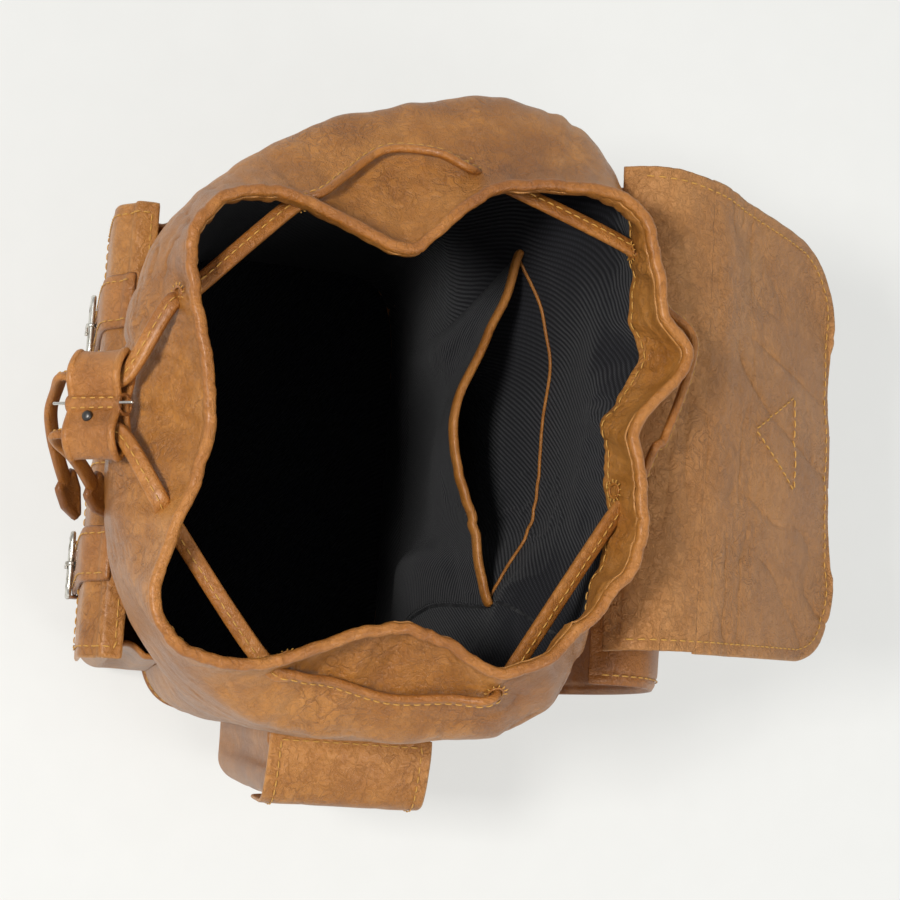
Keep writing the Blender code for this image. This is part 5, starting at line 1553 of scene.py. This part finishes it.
    def closure(self) -> None:
        """The strap sewn under the flap's end, which hangs off it, and its holes."""
        middle = (self.low + self.high) / 2
        knots = ((245.0, 228.9), (262.0, 214.2), (276.0, 202.2), (284.0, 195.6), (291.5, 190.0), (294.4, 183.0),
                 (294.5, 165.0), (294.6, 120.0), (294.8, 75.0))
        strip = Strip(smooth(knots, 1.2), middle - 15, middle + 15, corner=14.0)
        strap = strip.sheet(2.4, 90, 24, rough=0.25, seed=121)
        finish = self.maker.finishes.strap
        bend = ("closure", (0, 291.0, 193.5), (0, 294.0, 186.5))
        self.maker.keep(strap, "closure_strap_whole", finish, "flap", nodes=("closure_strap", "closure_strap_head"),
                        slot="dark_leather", bend=bend)
        places, out = strip.row(3.0, 2.0, 1.25)
        self.maker.keep(stitches(places, out, 5.4, 4.1, 0.8), "closure_strap_stitches", self.maker.finishes.thread,
                        "flap", bend=bend)
        self.maker.keep(holes(strip, middle, strip.end - np.arange(20.0, 70.0, 12.0), 1.25), "closure_strap_holes",
                        self.maker.finishes.dark_metal_and_hole_shade, "closure")
        rows, u = np.linspace(0, 1, 20), np.linspace(-1, 1, 16)
        half = np.interp(rows, [0, 0.54, 0.66, 1.0], [3.0, 29.0, 15.0, 15.0])
        whole = self.whole
        s = whole.end - 110 + 100 * rows
        head = whole.at(middle + u[None] * half[:, None], s[:, None] + 0 * u[None], 2.6)
        self.maker.keep(sheet(head, 2.2), "closure_strap_sewn_head", finish, "flap")


@dataclass
class Pouch:
    """An open-topped pocket sewn to a wall: a sheet bent round three sides, and a floor.

    Its own frame has -Y out of the bag. place turns it to its wall.
    """

    low: float
    high: float
    bottom: float
    top: float
    face_low: float
    face_high: float
    corner: float
    wall_at: object
    place: Matrix
    swell: float = 3.0
    pleat: float = 6.0
    seed: int = 0
    columns: int = 150

    def face(self, z: Array) -> Array:
        """The face's y at a height."""
        return self.face_low + (self.face_high - self.face_low) * (z - self.bottom) / (self.top - self.bottom)

    def grid(self) -> tuple[Array, Array]:
        """The bent sheet's points, and the height of each of its rows."""
        z = np.concatenate([self.bottom + 6 * (1 - np.cos(np.linspace(0.15, math.pi / 2, 8))),
                            np.linspace(self.bottom + 6, self.top, 74)[1:]])
        turn = np.linspace(0, math.pi / 2, 9)
        r, rows = self.corner, []
        for level in z:
            face = float(self.face(level))
            tuck = 5.0 * (1 - math.sqrt(max(1 - max(1 - (level - self.bottom) / 6, 0) ** 2, 0)))
            lo, hi, out = self.low + tuck, self.high - tuck, face + tuck
            left, right = float(self.wall_at(lo, level)), float(self.wall_at(hi, level))
            plan = [(lo, left - 1.0)] + [(lo + r - r * math.cos(t), out + r - r * math.sin(t)) for t in turn]
            plan += [(hi - r + r * math.sin(t), out + r - r * math.cos(t)) for t in turn] + [(hi, right - 1.0)]
            plan = spaced(np.array(plan), 0.5)
            along = lengths(plan)
            pick = np.linspace(0, along[-1], self.columns)
            rows.append(np.stack([np.interp(pick, along, plan[:, 0]), np.interp(pick, along, plan[:, 1]),
                                  np.full(self.columns, level)], axis=1))
        return np.stack(rows), z

    def build(self) -> tuple[Shape, Shape, list[Shape]]:
        """The pouch, its rolled top edge, and its stitch rows."""
        grid, z = self.grid()
        x, y = grid[..., 0], grid[..., 1]
        middle, half = (self.low + self.high) / 2, (self.high - self.low) / 2
        u = np.clip((x - middle) / half, -1, 1)
        rise = ((z - self.bottom) / (self.top - self.bottom))[:, None]
        front = ease(1 - np.abs(u), 0.0, 0.35)
        bulge = self.swell * front * np.sin(math.pi * np.clip(rise * 0.9 + 0.05, 0, 1))
        soft = 1.1 * cloud(grid, 46, 2, self.seed) + 0.25 * cloud(grid, 11, 2, self.seed + 3)
        dent = creases(grid * np.array([1, 1, 0.5]), 30, self.seed + 9, 9.0) * 0.9
        depth = (y - self.face(z)[:, None]) / 14.0
        side = ease(np.abs(u), 0.93, 0.99) * ease(depth, 0.7, 1.2)
        fold = self.pleat * side * np.sin(math.pi * np.clip((depth - 0.7) / 1.4, 0, 1)) * ease(rise, 0, 0.3)
        grid = grid.copy()
        grid[..., 1] -= (bulge + (soft - dent) * front * ease(rise, 0.0, 0.08))
        grid[..., 0] -= np.sign(u) * fold
        wear = 0.4 * np.exp(-((depth - 0.15) / 0.3) ** 2) * ease(np.abs(u), 0.8, 0.97) + 0.2 * ease(soft, 0.4, 1.5)
        body = sheet(grid, 2.2, wear=wear)
        floor_x, share = np.linspace(self.low + 4, self.high - 4, 40), np.linspace(0, 1, 14)
        level = self.bottom + 1.1
        row = grid[2]
        order = np.argsort(row[4:-4, 0])
        face = np.interp(floor_x, row[4:-4][order, 0], row[4:-4][order, 1]) + 1.0
        back = np.array([float(self.wall_at(v, self.bottom + 2)) for v in floor_x]) - 1.0
        floor = np.stack(np.broadcast_arrays(floor_x[None], back + (face - back) * share[:, None], level), axis=-1)
        lip = sweep(grid[-1] + np.array([0, 0, 0.6]), (0, 0, 1), oval(4.6, 3.4, 14), wear=0.35)
        rows = []
        for column in (26, -27):
            line = grid[8:-4, column]
            rows.append(stitches(spaced(line + unit(facing(grid)[8:-4, column]) * 1.1, 1.5),
                                 facing(grid)[40, column], 5.4, 4.2, 0.85))
        for k, row_at in ((0, 9), (1, -5)):
            cut = grid[row_at, 24:-24]
            rows.append(stitches(spaced(cut + facing(grid)[row_at, 24:-24] * 1.1, 1.5), (0, -1, 0), 5.4, 4.2, 0.85))
        return (Shape.join([body, sheet(floor, 1.8)]).moved(self.place), lip.moved(self.place),
                [r.moved(self.place) for r in rows])


@dataclass
class FrontPocket:
    """A front pocket, with its flap and the buckled strap that holds it."""

    maker: Maker
    side: Side
    half: float = 51.0
    hinge: float = 206.0

    def build(self) -> None:
        """Makes the pieces."""
        maker, word = self.maker, self.side.word
        wall, half, hinge = maker.wall, self.half, self.hinge
        centre = -63.0 if self.side is Side.LEFT else 71.0
        pouch = Pouch(centre - half, centre + half, 24.0, 190.0, -112.0, -127.0, 12.0,
                      wall.front_at, Matrix.Identity(4), seed=131 + 7 * self.side.value)
        body, lip, rows = pouch.build()
        maker.keep(body, f"front_pouch_{word}", maker.finishes.hide, nodes=(f"front_pocket_{word}",),
                   slot="tan_leather")
        maker.keep(lip, f"front_pouch_lip_{word}", maker.finishes.rim)
        maker.keep(Shape.join(rows), f"front_pouch_stitches_{word}", maker.finishes.thread)
        lip_y, sewn = -130.2, min(float(wall.front_at(centre + d, hinge)) for d in (-half, 0, half)) - 1.6
        knots = ((sewn, hinge), (sewn - 10, hinge - 1.2), (lip_y + 7, 199.5), (lip_y, 189.0), (lip_y + 0.4, 170.0),
                 (lip_y + 2.2, 150.0), (lip_y + 4.4, 126.0))
        strip = Strip(smooth(knots, 1.2), centre - half - 2, centre + half + 2, corner=16.0)
        on = f"front_flap_{word}"
        cover = strip.sheet(2.3, 90, 90, bow=0.4, rough=0.6, seed=141 + self.side.value)
        maker.keep(cover, f"front_pocket_cover_{word}", maker.finishes.hide, on,
                   nodes=(f"front_pocket_flap_{word}",), slot="tan_leather")
        places, out = strip.row(5.0, 3.0, 1.1, closed=True)
        maker.keep(stitches(places, out, 5.4, 4.2, 0.9), f"front_pocket_cover_stitches_{word}",
                   maker.finishes.thread, on)
        self.strap(centre, lip_y, strip, on)

    def strap(self, centre: float, lip_y: float, cover: Strip, on: str) -> None:
        """The strap, its buckle with a prong, its keeper and its holes."""
        maker, word = self.maker, self.side.word
        line = np.stack([np.interp(np.linspace(9, cover.end, 90), cover.along, cover.line[:, k]) for k in (0, 1)],
                        axis=1)
        line = np.concatenate([line[:-3], [(lip_y + 6.4, 106.0), (lip_y + 8.0, 86.0), (lip_y + 9.4, 70.0)]])
        slope = unit(np.gradient(line, axis=0))
        line = line + np.stack([slope[:, 1], -slope[:, 0]], axis=1) * 2.6
        strap = Strip(spaced(line, 1.5), centre - 13.5, centre + 13.5, corner=10.0)
        finish = maker.finishes.strap
        maker.keep(strap.sheet(2.6, 100, 22, bow=0.5, rough=0.3, seed=151), f"front_strap_{word}", finish, on,
                   nodes=(f"front_pocket_strap_{word}",), slot="dark_leather")
        places, out = strap.row(3.0, 2.0, 1.35)
        maker.keep(stitches(places, out, 5.2, 4.0, 0.8), f"front_strap_stitches_{word}", maker.finishes.thread, on)
        tilt = math.atan2(3.6, 40.0)
        lift = 2.8
        place = fitting_place((centre, lip_y + 5.6 - lift - 1.1 - 2.4, 112.0), tilt)
        Buckle(maker, f"front_pocket_buckle_{word}_frame", 27.0, place, on, f"front_prong_{word}").build()
        loop = fitting_place((centre, lip_y + 8.2 - lift, 84.0), tilt)
        maker.keep(keeper(28.0, 3.2, loop), f"front_strap_keeper_{word}", finish, on,
                   nodes=(f"front_pocket_keeper_{word}",), slot="dark_leather")
        maker.keep(holes(strap, centre, strap.end - np.array([10.0, 22.0, 34.0, 58.0]), 1.35),
                   f"front_strap_holes_{word}", maker.finishes.dark_metal_and_hole_shade, on)


@dataclass
class SidePocket:
    """A side pocket and its flap."""

    maker: Maker
    side: Side
    half: float = 42.0
    centre: float = 19.0
    hinge: float = 184.0

    def build(self) -> None:
        """Makes the pieces."""
        maker, word, sign = self.maker, self.side.word, self.side.value
        wall, half, centre, hinge = maker.wall, self.half, self.centre, self.hinge
        out_at = 168.0 if self.side is Side.LEFT else 190.0
        place = Matrix.Translation((0, centre, 0)) @ Matrix.Rotation(sign * math.pi / 2, 4, "Z")
        pouch = Pouch(-half, half, 24.0, 168.0, 8.0 - out_at, -out_at, 12.0,
                      lambda x, z: -wall.side_at(centre + sign * x, z, self.side), place,
                      swell=1.5, pleat=3.0 if sign > 0 else 0.0, seed=161 + sign)
        body, lip, rows = pouch.build()
        maker.keep(body, f"side_pouch_{word}", maker.finishes.hide, nodes=(f"side_pocket_{word}",),
                   slot="tan_leather")
        maker.keep(lip, f"side_pouch_lip_{word}", maker.finishes.rim)
        maker.keep(Shape.join(rows), f"side_pouch_stitches_{word}", maker.finishes.thread)
        sewn = max(float(wall.side_at(centre + d, hinge, self.side)) for d in (-half, 0, half)) + 1.6
        edge = out_at + 3.2
        knots = ((-sewn, hinge), (-sewn - 10, hinge - 1.4), (-edge + 8, 176.5), (-edge, 168.0), (-edge + 0.6, 150.0),
                 (-edge + 1.8, 128.0))
        strip = Strip(smooth(knots, 1.2), -half - 2, half + 2, corner=18.0)
        flap = strip.sheet(2.3, 60, 80, bow=0.4, rough=0.6, seed=171 + sign).moved(place)
        on = f"side_flap_{word}"
        maker.keep(flap, f"side_pocket_cover_{word}", maker.finishes.hide, on, nodes=(f"side_pocket_flap_{word}",),
                   slot="tan_leather")
        places, out = strip.row(5.0, 3.0, 1.1, closed=True)
        maker.keep(stitches(places, out, 5.4, 4.2, 0.9).moved(place), f"side_pocket_cover_stitches_{word}",
                   maker.finishes.thread, on)


# ---------------------------------------------------------------- back and front fittings

@dataclass
class BackFittings:
    """The yoke, the carry handle, the shoulder straps and their lower straps and buckles."""

    maker: Maker
    pad_half: float = 21.0
    strap_half: float = 11.0

    def build(self) -> None:
        """Makes the pieces."""
        self.yoke()
        self.handle()
        for side in Side:
            self.shoulder(side)

    def yoke(self) -> None:
        """The patch that holds the straps to the back wall."""
        maker, wall = self.maker, self.maker.wall
        z = np.linspace(234, 272, 30)
        right, left = wall.seams(z)
        share = np.linspace(0.25, 0.70, 90)
        grid = wall.place(right[:, None] + (left - right)[:, None] * share[None], z[:, None], 1.6, 1.0)
        maker.keep(sheet(grid, 2.2), "back_yoke_patch", maker.finishes.strap, nodes=("back_yoke",),
                   slot="dark_leather")
        edge = np.concatenate([grid[3, 3:-3], grid[3:-3, -4], grid[-4, 3:-3][::-1], grid[3:-3, 3][::-1]])
        out = unit(edge * np.array([0.25, 1, 0]))
        maker.keep(stitches(spaced(edge + out * 1.2, 1.5), (0, 1, 0.1)), "back_yoke_stitches",
                   maker.finishes.thread)

    def handle(self) -> None:
        """The rolled carry handle with a seam along its inner side."""
        maker = self.maker
        loop = ((-48, 3), (-40, -14), (-20, -24), (0, -27), (20, -24), (40, -14), (48, 3))
        path = smooth([(-10.0 + x, 124.8, 268.0 + z) for x, z in loop], 1.5)
        size = 1 + 0.05 * cloud(path, 14, 2, 181)
        roll = sweep(path, (0, 1, 0), oval(8.4, 8.2, 20, 2.2), size=size, wear=0.2)
        maker.keep(roll, "carry_handle_roll", maker.finishes.strap, "handle", nodes=("carry_handle",),
                   slot="dark_leather")
        maker.keep(stitches(path[4:-4] + np.array([0, 4.0, 0]), (0, 1, 0), 5.0, 3.9, 0.8), "carry_handle_stitches",
                   maker.finishes.thread, "handle")

    def shoulder(self, side: Side) -> None:
        """A padded shoulder strap, the lower strap through its buckle, and the buckle."""
        maker, word = self.maker, side.word
        x = -122.0 if side is Side.LEFT else 101.0
        upper = Strip(smooth(((124, 262), (138, 267), (156, 258), (172, 228), (178, 190), (174, 150), (160, 112)),
                             1.5)[::-1], x - self.pad_half, x + self.pad_half)
        u, s, across = upper.grid(150, 40)
        pad = 1.0 + 2.6 * (1 - np.abs(u) ** 6) * ease(s, 4, 18) * ease(upper.end - s, 4, 18)
        seam = -0.9 * np.exp(-((np.abs(u) - 0.8) / 0.06) ** 2)
        bumps = 0.3 * cloud(upper.at(across, s), 18, 2, 191)
        top = upper.at(across, s, pad + seam + bumps)
        low = upper.at(across, s, -pad - seam)
        middle = (top + low) / 2
        shape = sheet(middle, 2.0, chart=np.stack([across, s], axis=-1),
                      wear=0.4 * ease(np.abs(u), 0.9, 1.0))
        n = middle.shape[0] * middle.shape[1]
        if facing(middle)[75, 20] @ upper.outward(s[75, 20]) <= 0:
            top, low = low, top
        shape.points[:n] = top.reshape(-1, 3)
        shape.points[n:2 * n] = low.reshape(-1, 3)
        piece = maker.keep(shape, f"shoulder_pad_{word}", maker.finishes.strap,
                           nodes=(f"shoulder_strap_{word}",), slot="dark_leather")
        rows = []
        for share in (-0.8, 0.8):
            line = upper.at(np.full(120, x + self.pad_half * share), np.linspace(6, upper.end - 6, 120), 2.9)
            rows.append(stitches(line, upper.outward(np.linspace(6, upper.end - 6, 120)), 5.4, 4.2, 0.9))
        maker.keep(Shape.join(rows), f"shoulder_pad_stitches_{word}", maker.finishes.thread)
        lower = Strip(smooth(((160.5, 108.2), (146, 76), (124, 46), (100, 26), (80.5, 16)), 1.5),
                      x - self.strap_half, x + self.strap_half)
        maker.keep(lower.sheet(2.4, 90, 18, rough=0.3, seed=193), f"lower_strap_whole_{word}", maker.finishes.strap,
                   nodes=(f"lower_strap_{word}",), slot="dark_leather")
        sign = -1.0 if lower.outward(20.0)[1] < 0 else 1.0
        maker.keep(holes(lower, x, (22.0, 66.0, 78.0, 90.0), sign * 1.25), f"lower_strap_holes_{word}",
                   maker.finishes.dark_metal_and_hole_shade)
        a, b = np.array((146.0, 76.0)), np.array((124.0, 46.0))
        slope = math.atan2(a[0] - b[0], a[1] - b[1])
        out = np.array((math.cos(slope), -math.sin(slope))) * (1.1 + 1.5 + 1.4 + 1.3)
        centre = (a + b) / 2 + out
        place = fitting_place((x, *centre), -slope, flip=True)
        Buckle(maker, f"shoulder_buckle_{word}_frame", 2 * self.strap_half, place, "root", f"strap_prong_{word}").build()


@dataclass
class ClosureTab:
    """The tab between the front pockets, with the buckle that takes the flap's strap."""

    maker: Maker
    centre: float = 4.0

    def build(self) -> None:
        """Makes the pieces."""
        maker, wall = self.maker, self.maker.wall
        levels = np.array([178.0, 160.0, 140.0, 118.0, 96.0])
        line = np.array([(float(wall.front_at(self.centre, z)) - 2.4, z) for z in levels])
        strip = Strip(smooth(line, 1.5), self.centre - 11, self.centre + 11, corner=8.0)
        maker.keep(strip.sheet(2.4, 50, 18, rough=0.2, seed=197), "closure_tab_strap", maker.finishes.strap,
                   nodes=("closure_tab",), slot="dark_leather")
        places, out = strip.row(3.0, 2.0, 1.3)
        maker.keep(stitches(places, out, 5.0, 3.9, 0.8), "closure_tab_stitches", maker.finishes.thread)
        slope = math.atan2(line[0][0] - line[-1][0], line[0][1] - line[-1][1])
        place = fitting_place((self.centre, line[0][0] - 1.1 - 1.5 - 2.0, 168.0), -slope)
        Buckle(maker, "closure_buckle_frame", 12.0, place, "root", "closure_prong_body").build()


# ---------------------------------------------------------------- the studio

@dataclass
class Studio:
    """A pale floor, a key light in front, a fill light behind, and the camera over the mouth."""

    eye: tuple[float, float, float] = (0.1749, -0.2652, 1.3047)
    ahead: tuple[float, float, float] = (-0.1519, 0.2786, -0.9483)
    right: tuple[float, float, float] = (-0.0593, 0.9552, 0.2901)
    lens: float = 85.0
    half: float = 6.0

    def build(self) -> None:
        """Makes the floor, the lights, the world and the camera."""
        self.floor()
        self.light("key", (0.15, -1.05, 1.75), 0.32, 31.0)
        self.light("fill", (0.9, 0.9, 1.6), 0.9, 12.0)
        self.world(0.54)
        self.camera()
        bpy.context.scene.view_settings.view_transform = "Standard"

    def floor(self) -> None:
        """A wide pale floor."""
        made, tree = new_material("pale_floor")
        fleck = tree.add("TexNoise", {"Vector": tree.add("TexCoord").outputs["Object"], "Scale": 40.0}).outputs[0]
        colour = tree.mix(fleck, full((0.30, 0.30, 0.29)), full((0.32, 0.32, 0.31)))
        tree.surface({"Base Color": colour, "Roughness": 0.9, "Specular IOR Level": 0.1,
                      "Emission Color": full((1.0, 1.0, 0.965)),
                      "Emission Strength": 0.52})
        mesh = bpy.data.meshes.new("floor")
        mesh.from_pydata([(x * self.half, y * self.half, 0) for x, y in ((-1, -1), (1, -1), (1, 1), (-1, 1))], [],
                         [(0, 1, 2, 3)])
        mesh.materials.append(made)
        plane = bpy.data.objects.new("floor", mesh)
        bpy.context.scene.collection.objects.link(plane)

    def light(self, name: str, place: Sequence[float], size: float, power: float) -> None:
        """An area light that points at the bag."""
        lamp = bpy.data.lights.new(name, "AREA")
        lamp.size, lamp.energy = size, power
        lamp.color = (1.0, 0.985, 0.96)
        stand = bpy.data.objects.new(name, lamp)
        stand.location = place
        stand.rotation_euler = (Vector((0.0, 0.0, 0.25)) - Vector(place)).to_track_quat("-Z", "Y").to_euler()
        bpy.context.scene.collection.objects.link(stand)

    def world(self, strength: float) -> None:
        """A pale even surround."""
        world = bpy.data.worlds.new("studio")
        world.use_nodes = True
        tree = Tree(world.node_tree)
        glow = tree.add("Background", {"Color": full((0.93, 0.96, 1.0)), "Strength": strength})
        tree.add("OutputWorld", {"Surface": glow.outputs[0]})
        bpy.context.scene.world = world

    def camera(self) -> None:
        """The camera, from its own axes."""
        ahead, right = Vector(self.ahead).normalized(), Vector(self.right).normalized()
        up = right.cross(ahead)
        eye = bpy.data.cameras.new("eye")
        eye.lens, eye.sensor_width = self.lens, 36.0
        stand = bpy.data.objects.new("eye", eye)
        turn = Matrix((right, up, -ahead)).transposed().to_4x4()
        stand.matrix_world = Matrix.Translation(self.eye) @ turn
        bpy.context.scene.collection.objects.link(stand)
        bpy.context.scene.camera = stand


def main() -> None:
    """Builds the finishes, the bag's pieces and the studio."""
    logging.basicConfig(level=logging.INFO, format="%(message)s")
    maker = Maker(Wall(), Palette.mix_up())
    parts = [Walls(maker), Lining(maker), String(maker), MainFlap(maker), BackFittings(maker), ClosureTab(maker)]
    parts += [kind(maker, side) for kind in (FrontPocket, SidePocket) for side in Side]
    for part in parts:
        part.build()
    Studio().build()
    log.info("%d pieces", maker.count)


if __name__ == "__main__":
    main()
